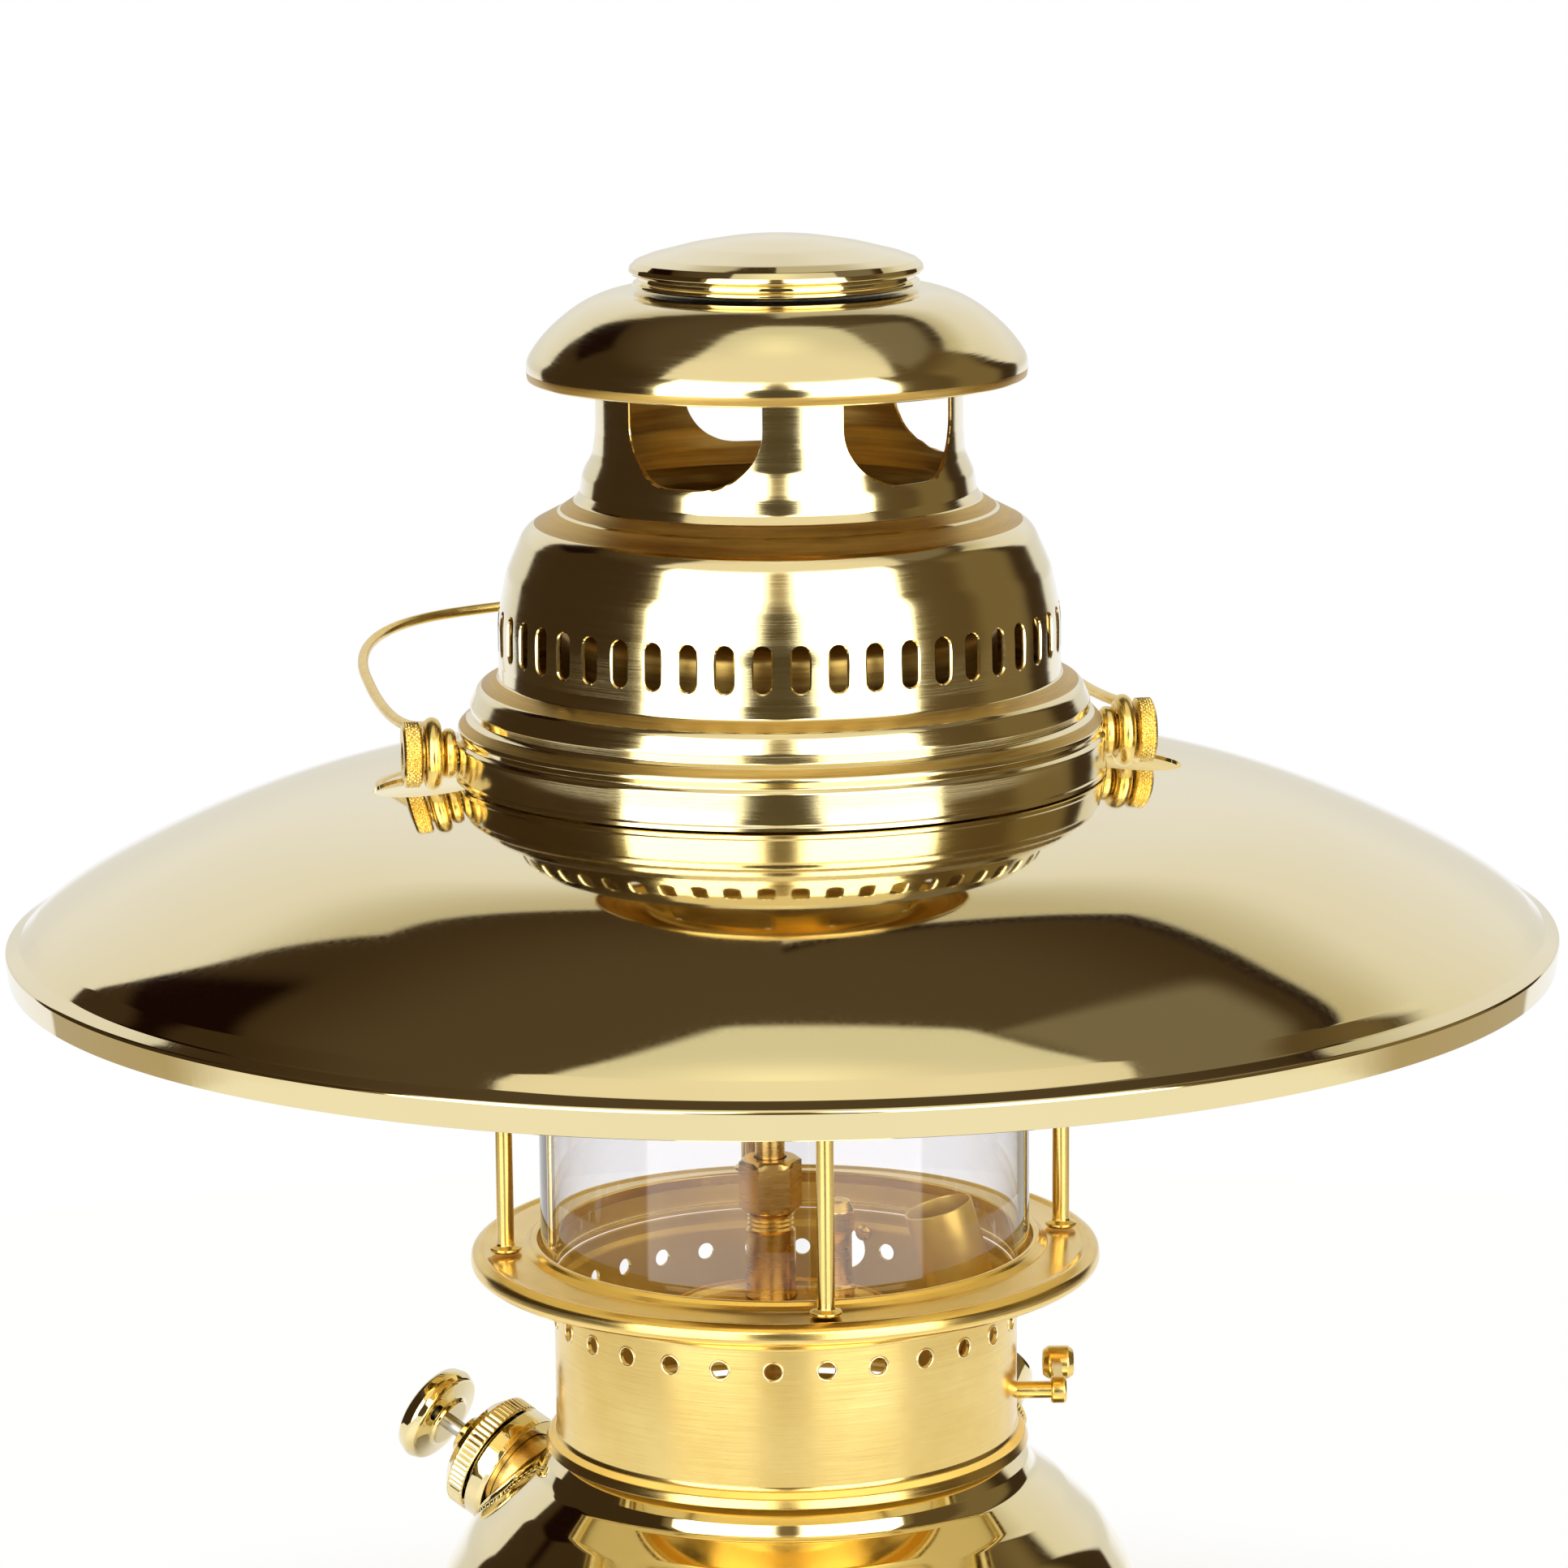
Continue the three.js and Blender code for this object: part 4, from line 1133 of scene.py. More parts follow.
def build_controls():
    at = about((0, VAPOUR_Y, SPINDLE_Z), (0, 1, 0))
    outline = rounded([(0, 0.6), (2.4, 0.6), (2.4, 36.0), (0, 36.0)])
    turned_piece("control_shaft", outline, THIN, at, MACHINED, "control", "control_spindle")
    nut = place(new_object("shaft_gland_nut", *prism(6, 13, 8.5, 14.3, 3.0, 0.8)), at)
    finish_piece(nut, MACHINED, "frame", "spindle_gland")
    inner, outer = 33.4, 41.6
    scallop = grooves(12, 24, 0.55, inner, outer)
    outline = rounded([
        (2.7, inner), (5, inner, 0.4), (5, inner + 3.2, 0.6), (11, inner + 3.4, 0.8),
        (11.4, inner + 1.4, 0.6), (14.2, inner + 1.4, 0.6), (15, inner + 2.4, 0.8),
        (15, outer - 1.2, 0.8), (14.2, outer - 0.4, 0.6), (11.4, outer - 0.4, 0.6),
        (11, outer - 2.6, 0.8), (5, outer - 2.4, 0.6), (5, outer, 0.4), (2.7, outer),
    ])
    wheel = turned("control_handwheel", outline, 240, scallop)
    holes = []
    circle = 8
    for k in range(4):
        angle = math.pi / 4 + k * math.pi / 2
        centre = upright(circle * math.cos(angle), circle * math.sin(angle))
        holes.append(tube_bar(centre, 1.9, 30, 46, 32))
    carve(wheel, holes)
    place(wheel, at)
    finish_piece(wheel, SATIN, "control", "control_wheel")
    outline = rounded([
        (0, 36.5), (2.2, 36.5), (2.2, 41.9), (4.2, 41.9, 0.2), (4.1, 42.8, 0.5), (3.0, 43.6, 0.8),
        (0, 43.9),
    ])
    turned_piece("wheel_fixing_screw", outline, 40, at, STEEL, "control", "wheel_screw")


def build_preheater():
    lever = middle("preheater_lever")
    azimuth = math.atan2(middle("preheater_riser").y, middle("preheater_riser").x)
    out = Vector((math.cos(azimuth), math.sin(azimuth), 0))
    lean = math.radians(16)
    top_r, top_z = 36, 173.3
    up = Vector((-out.x * math.sin(lean), -out.y * math.sin(lean), math.cos(lean)))
    at = about(tuple(out * top_r + Vector((0, 0, top_z))), up)
    length = 30
    outline = rounded([
        (7.6, -length), (8.2, -length, 0.2), (8.2, -0.2, 0.15), (7.7, 0, 0.15), (7.6, -0.6),
        (7.6, -length),
    ])
    turned_piece("flame_tube", outline, MEDIUM, at, ETCHED, "frame", "preheater_tube")
    outline = rounded([
        (4.4, 1.2 - length), (7.2, 1.2 - length, 0.3), (7.2, 4.2 - length, 0.3),
        (4.4, 4.2 - length, 0.3), (4.4, 1.2 - length),
    ])
    turned_piece("flame_tube_collar", outline, SMALL, at, MACHINED, "frame", "preheater_collar")
    z = low("preheater_riser").z
    outline = rounded([
        (0, z), (6, z), (6, z + 4, 0.6), (3.6, z + 5.4, 0.8), (3.4, z + 20, 0.5), (2, z + 23.4, 0.6),
        (2, z + 32.4, 0.5), (0, z + 32.6),
    ])
    centre = middle("preheater_riser")
    turned_piece("preheater_jet_post", outline, SMALL, upright(centre.x, centre.y), MACHINED, "frame",
                 "preheater_riser")
    shaft_z = lever.z
    sideways = Vector((-out.y, out.x, 0))
    arm = 22.5
    across = about((0, 0, shaft_z), tuple(out))
    shaft = moved(spin(rounded([(0, 48), (2, 48), (2, 63), (0, 63)]), 32), across)
    boss = moved(spin(rounded([(0, 62.6), (3.2, 62.6, 0.6), (3.2, 66.2, 0.8), (0, 66.4)]), 40), across)
    blade = lever_blade(out, shaft_z)
    knob = moved(spin(rounded([
        (0, 61.6), (3.0, 61.6, 0.8), (4.0, 63, 1.0), (4.0, 67.6, 1.0), (3.0, 69, 0.8), (0, 69),
    ]), 48), about(tuple(sideways * arm + Vector((0, 0, shaft_z))), tuple(out)))
    obj = new_object("preheater_lever_forged", *merged(shaft, boss, blade, knob))
    finish_piece(obj, SATIN, "preheater_lever", "preheater_lever")


def lever_blade(out, shaft_z):
    """Flat tapered arm, level at rest, from the shaft out to the knob."""
    ring = arc((0, 0), 2.4, 0.5, 1.5, 8) + arc((20.5, 0), 2.0, -0.5, 0.5, 8)
    return bar_shape(ring, 63.4, 65.6, math.degrees(math.atan2(out.y, out.x)), shaft_z)


def build_mantle():
    z = low("mantle").z
    outer = smooth([
        (0.01, z), (5, z + 0.8), (11, z + 3.6), (16, z + 8.6), (18.6, z + 15), (18.8, z + 22),
        (17, z + 31), (14.4, z + 40), (11.9, z + 48), (11.5, z + 54), (11.5, z + 57.6),
    ], 0.9)

    def folds(angle, r, height):
        near_top = max(0, (height - z - 34) / 24)
        near_base = max(0, 1 - (height - z) / 9)
        return r + 0.35 * (near_top + near_base) * math.sin(angle * 18) * min(1, r / 6)

    outline = [(0, z)] + sheet(outer[1:], 0.5)[:len(outer) - 1] + [(10.9, z + 57.6)]
    inner = [(max(p[0] - 0.5, 0), p[1] + 0.4) for p in reversed(outer[2:-1])]
    outline = outline + inner + [(0, z + 0.6)]
    turned_piece("mantle_sock", outline, 144, HERE, CLOTH, "frame", "mantle",
                 ripple=folds, smooth_angle=60)
    tie = [Vector((12.0 * math.cos(a), 12.0 * math.sin(a), z + 55 + 0.3 * math.sin(3 * a))) * MM
           for a in np.linspace(0, 2 * math.pi * 0.98, 60)]
    cord = new_object("mantle_tie_cord", *sweep(tie, 0.45 * MM, 10), 60)
    finish_piece(cord, CLOTH, "frame")
    z = low("burner_nozzle").z
    outline = rounded([
        (6.5, z), (9.8, z, 0.4), (10.3, z + 1.2, 0.4), (10.3, z + 6, 0.5), (12.9, z + 7.6, 0.5),
        (12.9, z + 15, 0.8), (9.6, z + 18.9, 0.6), (6.5, z + 18.9, 0.4), (6.5, z),
    ])
    turned_piece("ceramic_nozzle", outline, MEDIUM, HERE, CERAMIC, "frame", "burner_nozzle")


def build_mixing():
    z = low("burner_nozzle").z
    outline = rounded([
        (10.1, z + 19.5), (15.6, z + 16.4, 0.6), (17.3, z + 17.4, 0.8), (17.3, z + 24, 3),
        (8.0, z + 36, 3), (8.0, z + 46.8, 0.3), (7.0, z + 46.8, 0.3), (7.0, z + 35.6, 3),
        (16.1, z + 23.8, 3), (16.1, z + 18.6, 0.6), (10.1, z + 20.5), (10.1, z + 19.5),
    ])
    turned_piece("mixing_bell", outline, MEDIUM, HERE, RAW, "frame", "mixing_chamber")
    bend = VAPOUR_Y / 2
    foot, crown = z + 44.7, 308
    path = [Vector((0, 0, foot)), Vector((0, 0, (foot + crown) / 2))]
    path += [Vector((0, y, up)) for y, up in arc((bend, crown), bend, 1, 0, 32)]
    path += [Vector((0, VAPOUR_Y, 303)), Vector((0, VAPOUR_Y, 299.2))]
    outer = sweep([p * MM for p in path], 6.3 * MM, 32)
    tube = new_object("mixing_bend", *outer, 40)
    finish_piece(tube, RAW, "frame", "mixing_tube")


def build_casing():
    z = low("inner_casing").z
    outer = rounded([
        (50.3, z), (50.3, z + 22.6, 0.8), (58.0, z + 23.4, 0.4), (58.0, z + 24.2, 0.3),
        (50.3, z + 25.0, 0.8), (50.3, z + 45, 4), (35.9, z + 61.8),
    ])
    inner = rounded([(34.9, z + 61.8), (49.4, z + 44.6, 4), (49.4, z)])
    turned_piece("inner_casing_spun", outer + inner, FINE, HERE, RAW, "frame", "inner_casing")


# ---------- tank ----------

def joint_named(name):
    return next(joint for joint in frame["joints"] if joint["name"] == name)


def hinge_frame(name):
    """Origin in millimetres and axis of a hinge."""
    joint = joint_named(name)
    return Vector(joint["pos_m"]) / MM, Vector(joint["axis"])


def pump_frame():
    """Origin on the tank's shoulder and axis of the pump."""
    axis = Vector(joint_named("pump_stroke")["axis"])
    seat_r, seat_z = 76, 95
    level = math.hypot(axis.x, axis.y)
    return Vector((axis.x / level * seat_r, axis.y / level * seat_r, seat_z)), axis


def tank_outline():
    return rounded([
        (0, 9.5), (60, 8.2, 20), (77, 7.2, 4), (82.5, 9.5, 3), (84.2, 17, 6), (TANK_R, 32, 20),
        (TANK_R, 64, 26), (82.6, 84, 22), (75, 96.6, 26), (66, 105.2, 18), (58.6, 110.6, 5),
        (57.2, 113.6, 1.6), (54.5, DECK_Z - 0.4, 1.6), (46, DECK_Z - 0.3, 2), (0, DECK_Z),
    ], 12)


def tube_bar(matrix, radius, start, end, segments=64):
    return moved(spin([(0, start), (radius, start), (radius, end), (0, end)], segments), matrix)


def build_tank():
    outer = tank_outline()
    wall = 1.2
    inner = [(max(r - wall, 0), z + wall) for r, z in rounded([
        (0, 9.5), (60, 8.2, 20), (78, 7.6, 4), (83, 11, 3), (85, 20, 6), (TANK_R, 32, 20),
        (TANK_R, 62, 26), (82.6, 82, 22), (75, 94.2, 26), (66, 102.6, 18), (57, 109.6, 5),
        (54, DECK_Z - 3.4, 1.6), (0, DECK_Z - 3),
    ])]
    obj = turned("tank_spun", outer, 288)
    carve(obj, [
        spin(inner, 96),
        tube_bar(about(*hinge_frame("filler_cap_turn")), 13.4, -20, 14),
        tube_bar(about(*pump_frame()), 11.5, -40, 32),
        tube_bar(upright(0, VAPOUR_Y), 3.6, DECK_Z - 8, DECK_Z + 6, 32),
    ])
    true_normals(obj, outer)
    finish_piece(obj, POLISHED, "frame", "tank_shell")
    outline = rounded([
        (75.2, 0), (82.6, 0, 1.2), (84.6, 1.8, 1.6), (84.6, 4.2, 1.6), (82.4, 6.3, 1.2),
        (75.2, 6.0, 0.4), (75.2, 0),
    ])
    turned_piece("foot_ring_rolled", outline, FINE, HERE, POLISHED, "frame", "tank_foot_ring")
    z, top = low("pickup_tube").z, high("pickup_tube").z
    outline = rounded([(1.9, z), (3.2, z, 0.2), (3.2, top), (1.9, top), (1.9, z)])
    at = upright(0, VAPOUR_Y)
    turned_piece("fuel_pickup_pipe", outline, THIN, at, MACHINED, "frame", "pickup_tube")


def build_filler():
    at = about(*hinge_frame("filler_cap_turn"))
    outline = rounded([(11.2, -11.5), (13.0, -11.5), (13.0, 6.8, 0.4), (11.2, 6.8), (11.2, -11.5)])
    turned_piece("filler_collar", outline, MEDIUM, at, MACHINED, "frame", "filler_neck")
    outline = rounded([(9.6, 7.25), (13.0, 7.25, 0.4), (13.0, 8.7, 0.4), (9.6, 8.7, 0.3), (9.6, 7.25)])
    turned_piece("filler_seal", outline, SMALL, at, RUBBER, "filler", "filler_gasket")
    milled = grooves(17.2, 72, 0.35, 3.4, 10.6)
    outline = rounded([
        (13.7, 2.3), (17, 2.3, 0.5), (17.9, 3.3, 0.3), (17.9, 3.6), (17.9, 10.4), (17.9, 11, 0.3),
        (16.8, 12.3, 0.6), (9.5, 12.3, 0.3), (9.5, 9.1, 0.2), (13.7, 9.1, 0.3), (13.7, 2.3),
    ])
    turned_piece("filler_cap_milled", dense(outline, 0.9), 432, at, SATIN, "filler", "filler_cap",
                 ripple=milled, smooth_angle=40)
    outline = rounded([
        (0, 12.9), (13.8, 12.9, 0.8), (15.4, 14.4, 1.0), (15.4, 21.8, 0.8), (15.1, 22.8, 0.5),
        (14.3, 23.3, 0.5), (13.2, 23.1, 0.3), (13.0, 21.2, 0.2), (13.2, 16.5, 0.2), (0, 16.5),
    ])
    turned_piece("gauge_case", outline, MEDIUM, at, POLISHED, "filler", "gauge_body")
    build_dial(at)
    outline = rounded([(0, 21.4), (12.8, 21.4, 0.3), (12.8, 22.4, 0.3), (8, 22.9, 10), (0, 23.1)])
    turned_piece("gauge_lens", outline, MEDIUM, at, GLASS, "filler", "gauge_glass")
    build_bleed()


def build_dial(at):
    outline = rounded([(0, 16.75), (12.7, 16.75), (12.7, 17.25, 0.1), (0, 17.3)])
    turned_piece("gauge_face", outline, MEDIUM, at, ENAMEL, "filler", "gauge_dial")
    marks = []
    ticks = 24
    for k in range(ticks + 1):
        angle = math.radians(k * 270 / ticks - 45)
        long_tick = k % 4 == 0
        inner = 8.6 if long_tick else 9.8
        half = 0.28 if long_tick else 0.14
        marks.append(moved(block(inner, 11.6, half, 17.28, 17.42), Matrix.Rotation(angle, 4, "Z")))
    ring = spin(dense([(12.0, 17.28), (12.25, 17.28), (12.25, 17.42), (12.0, 17.42)]), MEDIUM)
    scale = place(new_object("gauge_scale_marks", *merged(ring, *marks)), at)
    finish_piece(scale, BLACK, "filler")
    outline = [(-3.2, -0.7), (-3.2, 0.7), (1, 0.42), (8.2, 0.1), (8.2, -0.1), (1, -0.42)]
    blade = [(x * MM, y * MM, z * MM) for z in (18.35, 18.8) for x, y in outline]
    faces = [[0, 1, 2, 3, 4, 5], [11, 10, 9, 8, 7, 6]]
    faces += [[k, k + 6, (k + 1) % 6 + 6, (k + 1) % 6] for k in range(6)]
    hub = spin(rounded([(0, 18.25), (1.4, 18.25, 0.2), (1.4, 19.0, 0.4), (0, 19.3)]), 32)
    needle = place(new_object("gauge_pointer", *merged((blade, faces), hub)), at)
    finish_piece(needle, BLACK, "gauge_needle", "gauge_needle")


def build_bleed():
    at = about(*hinge_frame("bleed_screw_turn"))
    face = [(0, 18.4), (1.8, 18.4), (1.8, 19.8), (3.1, 19.8), (3.55, 20.2)]
    rows = [(3.55, 20.2 + 2.9 * k / 14) for k in range(1, 15)]
    outline = face + rows + [(3.1, 23.5), (0, 23.6)]
    shape = spin(outline, 168, knurl(20.3, 23.0, 28, 0.22))
    screw = place(new_object("bleed_thumbscrew", *shape, 26), at)
    finish_piece(screw, SATIN, "bleed", "bleed_screw")


def build_pump():
    at = about(*pump_frame())
    length = 96
    outline = rounded([
        (0, -length), (10.4, -length, 0.6), (11, 0.6 - length, 0.4), (11, 6.8, 0.2), (9.8, 6.8, 0.2),
        (9.8, 1.2 - length), (0, 1.2 - length),
    ])
    turned_piece("pump_cylinder", outline, MEDIUM, at, MACHINED, "frame", "pump_barrel")
    outline = rounded([
        (11.3, 1.6), (14.6, 1.6, 0.4), (15, 3, 0.6), (15, 6.4, 0.3), (11.3, 6.5), (11.3, 1.6),
    ])
    turned_piece("pump_seat_ring", outline, MEDIUM, at, POLISHED, "frame", "pump_collar")
    milled = grooves(14.2, 60, 0.35, 7.9, 11.8)
    outline = rounded([
        (2.6, 7.5), (14.6, 7.5, 0.3), (15, 8, 0.2), (15, 8.3), (15, 11.6), (15, 12, 0.3),
        (12.8, 14.2, 1.0), (6.2, 15.6, 1.0), (5.2, 18.6, 0.6), (4.6, 18.9, 0.3), (2.6, 18.9, 0.3),
        (2.6, 7.5),
    ])
    turned_piece("pump_cap_milled", dense(outline, 0.7), 360, at, POLISHED, "frame", "pump_cap",
                 ripple=milled, smooth_angle=40)
    outline = rounded([(0, -65), (1.95, -65), (1.95, 24.4), (0, 24.4)])
    turned_piece("pump_plunger_rod", outline, THIN, at, STEEL, "pump", "pump_rod")
    outline = rounded([
        (0, -74), (8.6, -74, 0.6), (9.15, -72.6, 0.6), (9.15, -66, 0.8), (7.8, -65.7, 0.3),
        (7.4, -70, 0.6), (2.2, -70, 0.3), (2.2, -65.7), (0, -65.7),
    ])
    turned_piece("pump_leather_cup", outline, SMALL, at, LEATHER, "pump", "pump_cup")
    outline = rounded([
        (0, 23.9), (6.0, 23.9, 0.6), (6.6, 25, 1.2), (11.4, 25.8, 1.2), (12.4, 28, 2.0),
        (11.6, 31, 2.0), (7.5, 33.0, 4), (0, 33.6),
    ])
    turned_piece("pump_pull_knob", outline, MEDIUM, at, POLISHED, "pump", "pump_knob")
    outline = rounded([
        (0, 1.5 - length), (5.4, 1.5 - length, 0.4), (5.4, 8.8 - length, 0.6),
        (2.2, 11.8 - length, 0.4), (0, 11.9 - length),
    ])
    turned_piece("non_return_valve", outline, SMALL, at, MACHINED, "frame", "pump_valve")


# ---------- camera, light and floor ----------

CAMERA_AZIMUTH = 7.9        # degrees from straight ahead, towards the left
CAMERA_RISE = 10.92         # degrees above level
CAMERA_ROLL = -0.529
CAMERA_DISTANCE = 1372.04   # from the centre of the shade's rim plane
CAMERA_SHIFT = (-0.37, 38.89)   # the rim's centre sits off the optical axis, right and up
LENS = 135.03
TABLE_R = 700
FADE_START, FADE_END = 0.12, 0.32   # metres from the axis, where the table melts into the background
LAMP_POWER = 14
BOX_HALF = 57               # the softboxes' reach to either side, in degrees
BOX_TOP = 47
TABLE_EDGE = -13            # degrees below level where the pale table begins


def build_camera():
    azimuth = math.radians(CAMERA_AZIMUTH)
    rise = math.radians(CAMERA_RISE)
    level = Vector((math.sin(azimuth), math.cos(azimuth), 0))
    forward = level * math.cos(rise) - Vector((0, 0, math.sin(rise)))
    right = Vector((math.cos(azimuth), -math.sin(azimuth), 0))
    up = right.cross(forward)
    roll = math.radians(CAMERA_ROLL)
    x_axis = right * math.cos(roll) + up * math.sin(roll)
    y_axis = up * math.cos(roll) - right * math.sin(roll)
    aim = Vector((0, 0, RIM_Z))
    side_shift, rise_shift = CAMERA_SHIFT
    stand = aim - forward * CAMERA_DISTANCE - x_axis * side_shift + y_axis * rise_shift
    camera = bpy.data.cameras.new("camera")
    camera.lens = LENS
    camera.sensor_width = 36
    camera.clip_end = 20
    obj = bpy.data.objects.new("camera", camera)
    bpy.context.scene.collection.objects.link(obj)
    turn = Matrix((x_axis, y_axis, -forward)).transposed().to_4x4()
    obj.matrix_world = Matrix.Translation(stand * MM) @ turn
    bpy.context.scene.camera = obj


def build_stage():
    """Round white table that fades into the white background, so that it has no visible edge."""
    floor = new_object("pale_table", *spin([(0, -2), (TABLE_R, -2), (TABLE_R, 0), (0, 0)], MEDIUM))
    n = Nodes("pale_table", Roughness=0.9)
    n.colour(n.noise(3, 2), (0.93, 0.93, 0.925), (0.95, 0.95, 0.95))
    coord = n.add("ShaderNodeTexCoord")
    far = n.add("ShaderNodeVectorMath", operation="LENGTH")
    n.link(coord.outputs["Object"], far.inputs[0])
    glow = n.add("ShaderNodeEmission")
    glow.inputs["Color"].default_value = (1, 1, 0.99, 1)
    blend = n.add("ShaderNodeMixShader")
    n.link(n.range(far.outputs["Value"], 0, 1, FADE_START, FADE_END), blend.inputs["Fac"])
    n.link(n.surface.outputs["BSDF"], blend.inputs[1])
    n.link(glow.outputs["Emission"], blend.inputs[2])
    n.link(blend.outputs["Shader"], n.tree.nodes["Material Output"].inputs["Surface"])
    floor.data.materials.append(n.material)


class WorldNodes:
    """Builds the studio seen in reflections from soft-edged panels placed by direction."""

    def __init__(self, world, room):
        self.painted = room
        self.tree = world.node_tree
        coord = self.tree.nodes.new("ShaderNodeTexCoord")
        turn = self.tree.nodes.new("ShaderNodeMapping")
        turn.inputs["Rotation"].default_value[2] = math.radians(CAMERA_AZIMUTH)
        self.link(coord.outputs["Generated"], turn.inputs["Vector"])
        split = self.tree.nodes.new("ShaderNodeSeparateXYZ")
        self.link(turn.outputs["Vector"], split.inputs["Vector"])
        # side: 0 towards the camera, + to the camera's right, in degrees; rise: degrees above level
        self.right = split.outputs["X"]
        self.up = split.outputs["Z"]
        self.front = self.math("MULTIPLY", split.outputs["Y"], -1)
        self.side = self.degrees(self.math("ARCTAN2", self.right, self.front))
        self.rise = self.degrees(self.math("ARCSINE", split.outputs["Z"]))
        self.away = self.math("ABSOLUTE", self.side)

    def link(self, source, target):
        self.tree.links.new(source, target)

    def math(self, operation, first, second=None):
        node = self.tree.nodes.new("ShaderNodeMath")
        node.operation = operation
        for socket, value in zip(node.inputs, (first, second)):
            if value is None:
                continue
            if isinstance(value, (int, float)):
                socket.default_value = value
            else:
                self.link(value, socket)
        return node.outputs[0]

    def degrees(self, value):
        return self.math("MULTIPLY", value, 180 / math.pi)

    def step(self, value, edge, soft):
        """0 below the edge, 1 above it, with a soft change."""
        node = self.tree.nodes.new("ShaderNodeMapRange")
        node.interpolation_type = "SMOOTHSTEP"
        node.inputs["From Min"].default_value = edge - soft
        node.inputs["From Max"].default_value = edge + soft
        self.link(value, node.inputs["Value"])
        return node.outputs["Result"]

    def below(self, value, edge, soft):
        return self.math("SUBTRACT", 1, self.step(value, edge, soft))

    def both(self, first, *others):
        """1 where all the masks are 1."""
        for other in others:
            first = self.math("MULTIPLY", first, other)
        return first

    def inside(self, value, start, end, soft):
        return self.both(self.step(value, start, soft), self.below(value, end, soft))

    def oval(self, side, rise, half_side, half_rise, soft):
        a = self.math("DIVIDE", self.math("SUBTRACT", self.side, side), half_side)
        b = self.math("DIVIDE", self.math("SUBTRACT", self.rise, rise), half_rise)
        far = self.math("SQRT", self.math("ADD", self.math("POWER", a, 2), self.math("POWER", b, 2)))
        return self.below(far, 1, soft)

    def paint(self, mask, colour):
        """Lays a colour over what is painted so far."""
        node = self.tree.nodes.new("ShaderNodeMix")
        node.data_type = "RGBA"
        self.link(mask, node.inputs["Factor"])
        if isinstance(self.painted, tuple):
            node.inputs["A"].default_value = (*self.painted, 1)
        else:
            self.link(self.painted, node.inputs["A"])
        node.inputs["B"].default_value = (*colour, 1)
        self.painted = node.outputs["Result"]


def paint_room(w):
    """Dark room: warmer and lighter overhead and on the right."""
    w.paint(w.step(w.rise, 50, 10), (0.090, 0.064, 0.036))
    w.paint(w.both(w.inside(w.side, 58, 122, 3), w.below(w.rise, 55, 6)), (0.115, 0.078, 0.036))
    w.paint(w.both(w.inside(w.side, 90, 122, 6), w.below(w.rise, 40, 6)), (0.20, 0.150, 0.072))
    w.paint(w.both(w.inside(w.side, 85, 148, 2), w.inside(w.rise, 48, 67, 2)), (0.21, 0.175, 0.125))


def paint_walls(w):
    """White walls behind the object: one slants down to the left, the other runs on to the right.
    Returns the mask of all directions behind."""
    m = w.math
    on_right = w.step(w.side, 0, 0.5)
    rising = m("ADD", 0.15, m("MULTIPLY", on_right, 0.5))
    level = m("ADD", 42.5, m("MULTIPLY", m("MAXIMUM", m("SUBTRACT", w.away, 160), 0), rising))
    slant = m("ADD", 41, m("MULTIPLY", m("SUBTRACT", w.away, 155), 1.35))
    slant = m("ADD", slant, m("MULTIPLY", on_right, 90))
    above = m("SUBTRACT", w.rise, m("MINIMUM", level, slant))
    right_end = w.step(m("ADD", w.side, m("MULTIPLY", m("MAXIMUM", w.rise, 5), 0.6)), 146, 1.5)
    behind = m("MAXIMUM", right_end, w.below(w.side, -137, 1))
    dark_block = w.both(w.inside(w.side, -148, -124, 2), w.inside(w.rise, 30, 44, 1.5))
    w.paint(dark_block, (0.010, 0.003, 0.002))
    trim = w.both(behind, on_right, w.inside(above, 0, 2.2, 0.5))
    w.paint(trim, (0.030, 0.018, 0.012))
    walls = w.both(behind, w.below(above, 0, 0.7))
    w.paint(walls, (0.77, 0.75, 0.68))
    w.paint(w.both(walls, w.inside(w.rise, 8, 36, 6)), (0.85, 0.83, 0.77))
    w.paint(w.both(walls, w.step(w.rise, 38, 6)), (0.58, 0.53, 0.40))
    w.paint(w.both(walls, w.below(w.rise, -4, 3)), (0.95, 0.95, 0.955))
    return behind


def paint_reflector(w):
    """Pale fan-shaped panel overhead, reaching past the zenith. Its edges are straight lines on a
    level plane, on which across and along are measured."""
    m = w.math
    height = m("MAXIMUM", w.up, 0.05)
    across = m("DIVIDE", w.right, height)
    along = m("DIVIDE", w.front, height)
    left_edge = m("ADD", m("ADD", 0.364, m("MULTIPLY", along, 0.795)),
                  m("MULTIPLY", m("MAXIMUM", m("SUBTRACT", along, 0.033), 0), 0.9))
    right_edge = m("ADD", 0.573, m("MULTIPLY", along, 0.99))
    sides = w.both(w.step(m("ADD", across, left_edge), 0, 0.02),
                   w.below(m("SUBTRACT", across, right_edge), 0, 0.02))
    panel = w.both(sides, w.step(along, -0.378, 0.015), w.step(w.rise, 45, 1))
    w.paint(panel, (0.76, 0.74, 0.64))
    w.paint(w.both(panel, w.step(along, 0, 0.25)), (0.97, 0.91, 0.80))
    w.paint(w.both(panel, w.step(w.rise, 84, 9)), (1.15, 1.12, 0.92))


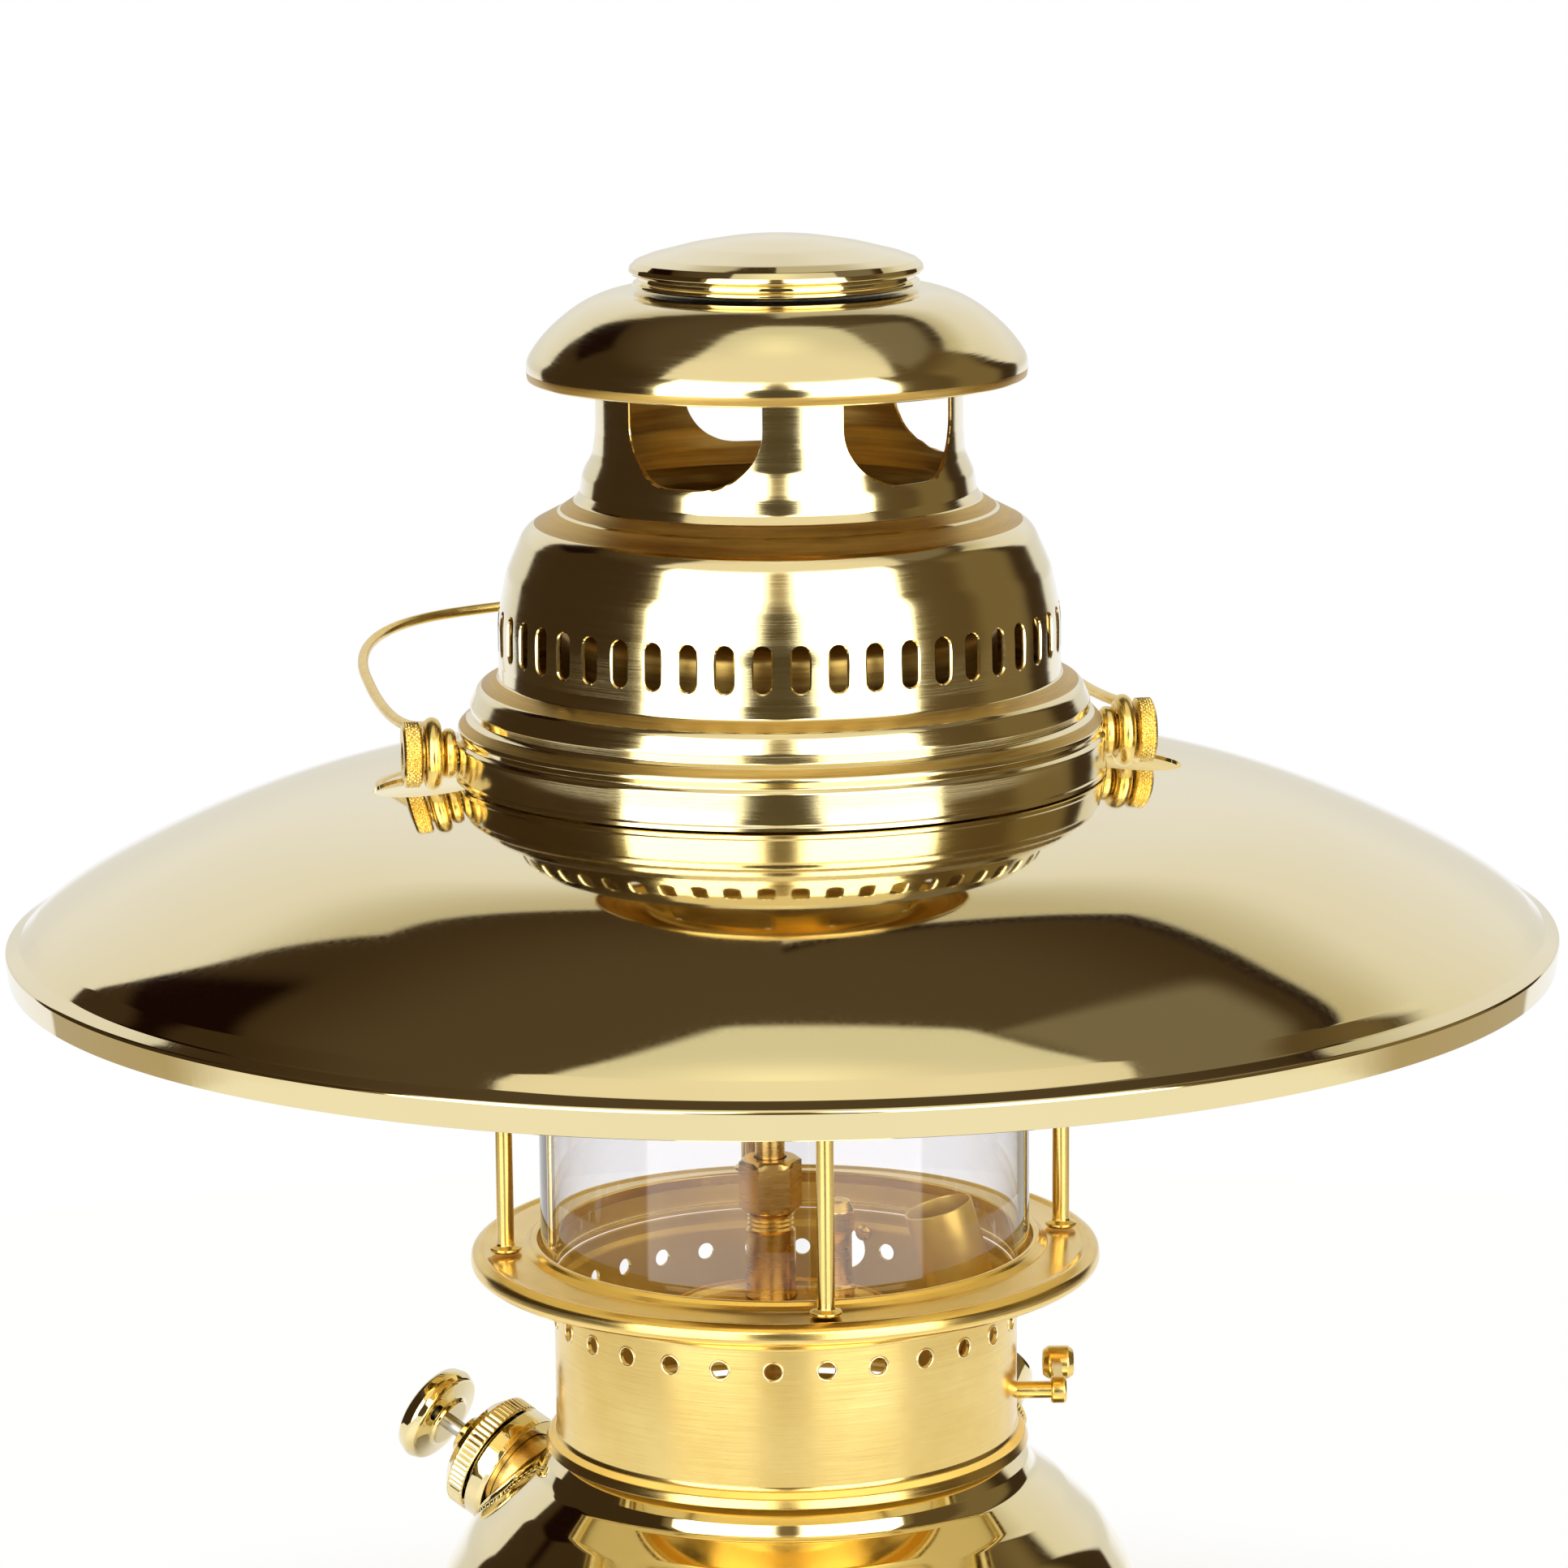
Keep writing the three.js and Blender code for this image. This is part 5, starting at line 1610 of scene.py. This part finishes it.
def paint_softboxes(w, behind):
    """Two softboxes with a dim outer edge, the pale table, and the gap where the camera stands."""
    dim_edge = w.both(w.inside(w.away, BOX_HALF - 5, BOX_HALF + 5, 2), w.inside(w.rise, -12, BOX_TOP, 2))
    w.paint(dim_edge, (0.21, 0.16, 0.07))
    boxes = w.both(w.inside(w.away, -1, BOX_HALF, 1.2), w.inside(w.rise, TABLE_EDGE, BOX_TOP, 1.2))
    w.paint(boxes, (3.6, 3.6, 3.4))
    table = w.below(w.rise, TABLE_EDGE, 1)
    w.paint(w.both(table, w.math("SUBTRACT", 1, behind)), (0.50, 0.42, 0.28))
    w.paint(w.both(table, w.below(w.away, 95, 10)), (0.97, 0.95, 0.90))
    gap = w.inside(w.side, -6, 6, 3.5)
    w.paint(w.both(gap, w.inside(w.rise, -12, BOX_TOP, 1.5)), (0.60, 0.48, 0.28))
    w.paint(w.both(gap, w.inside(w.rise, -12, 38, 8)), (0.20, 0.15, 0.075))
    w.paint(w.oval(0, -1.5, 15.5, 18, 0.13), (0.082, 0.062, 0.032))


def build_world():
    world = bpy.data.worlds.new("studio")
    bpy.context.scene.world = world
    world.use_nodes = True
    w = WorldNodes(world, (0.048, 0.029, 0.013))
    paint_room(w)
    behind = paint_walls(w)
    paint_reflector(w)
    paint_softboxes(w, behind)
    plain = w.tree.nodes.new("ShaderNodeBackground")
    plain.inputs["Color"].default_value = (1, 1, 1, 1)
    plain.inputs["Strength"].default_value = 1.0
    studio = w.tree.nodes["Background"]
    w.link(w.painted, studio.inputs["Color"])
    path = w.tree.nodes.new("ShaderNodeLightPath")
    pick = w.tree.nodes.new("ShaderNodeMixShader")
    w.link(path.outputs["Is Camera Ray"], pick.inputs["Fac"])
    w.link(studio.outputs["Background"], pick.inputs[1])
    w.link(plain.outputs["Background"], pick.inputs[2])
    w.link(pick.outputs["Shader"], w.tree.nodes["World Output"].inputs["Surface"])
    bpy.context.scene.view_settings.view_transform = "Standard"


def build_lights():
    """Two soft lamps in front, for the matt surfaces; the mirrors see the painted studio instead."""
    for name, side in (("left_softbox", -1), ("right_softbox", 1)):
        light = bpy.data.lights.new(name, "AREA")
        light.shape = "DISK"
        light.size = 0.7
        light.energy = LAMP_POWER
        obj = bpy.data.objects.new(name, light)
        bpy.context.scene.collection.objects.link(obj)
        obj.location = (side * 1.1, -1.2, 1.0)
        aim = Vector((0, 0, 0.25)) - obj.location
        obj.rotation_euler = aim.to_track_quat("-Z", "Y").to_euler()
        obj.visible_glossy = False


# ---------- everything ----------

build_shade()
build_hood()
build_cap()
build_side(1)
build_side(-1)
build_bail()
build_gallery()
build_skirt()
build_rods()
build_glass()
build_upper_ring()
build_gallery_screw()
build_burner()
build_tray()
build_controls()
build_preheater()
build_mantle()
build_mixing()
build_casing()
build_tank()
build_filler()
build_pump()
build_camera()
build_stage()
build_world()
build_lights()
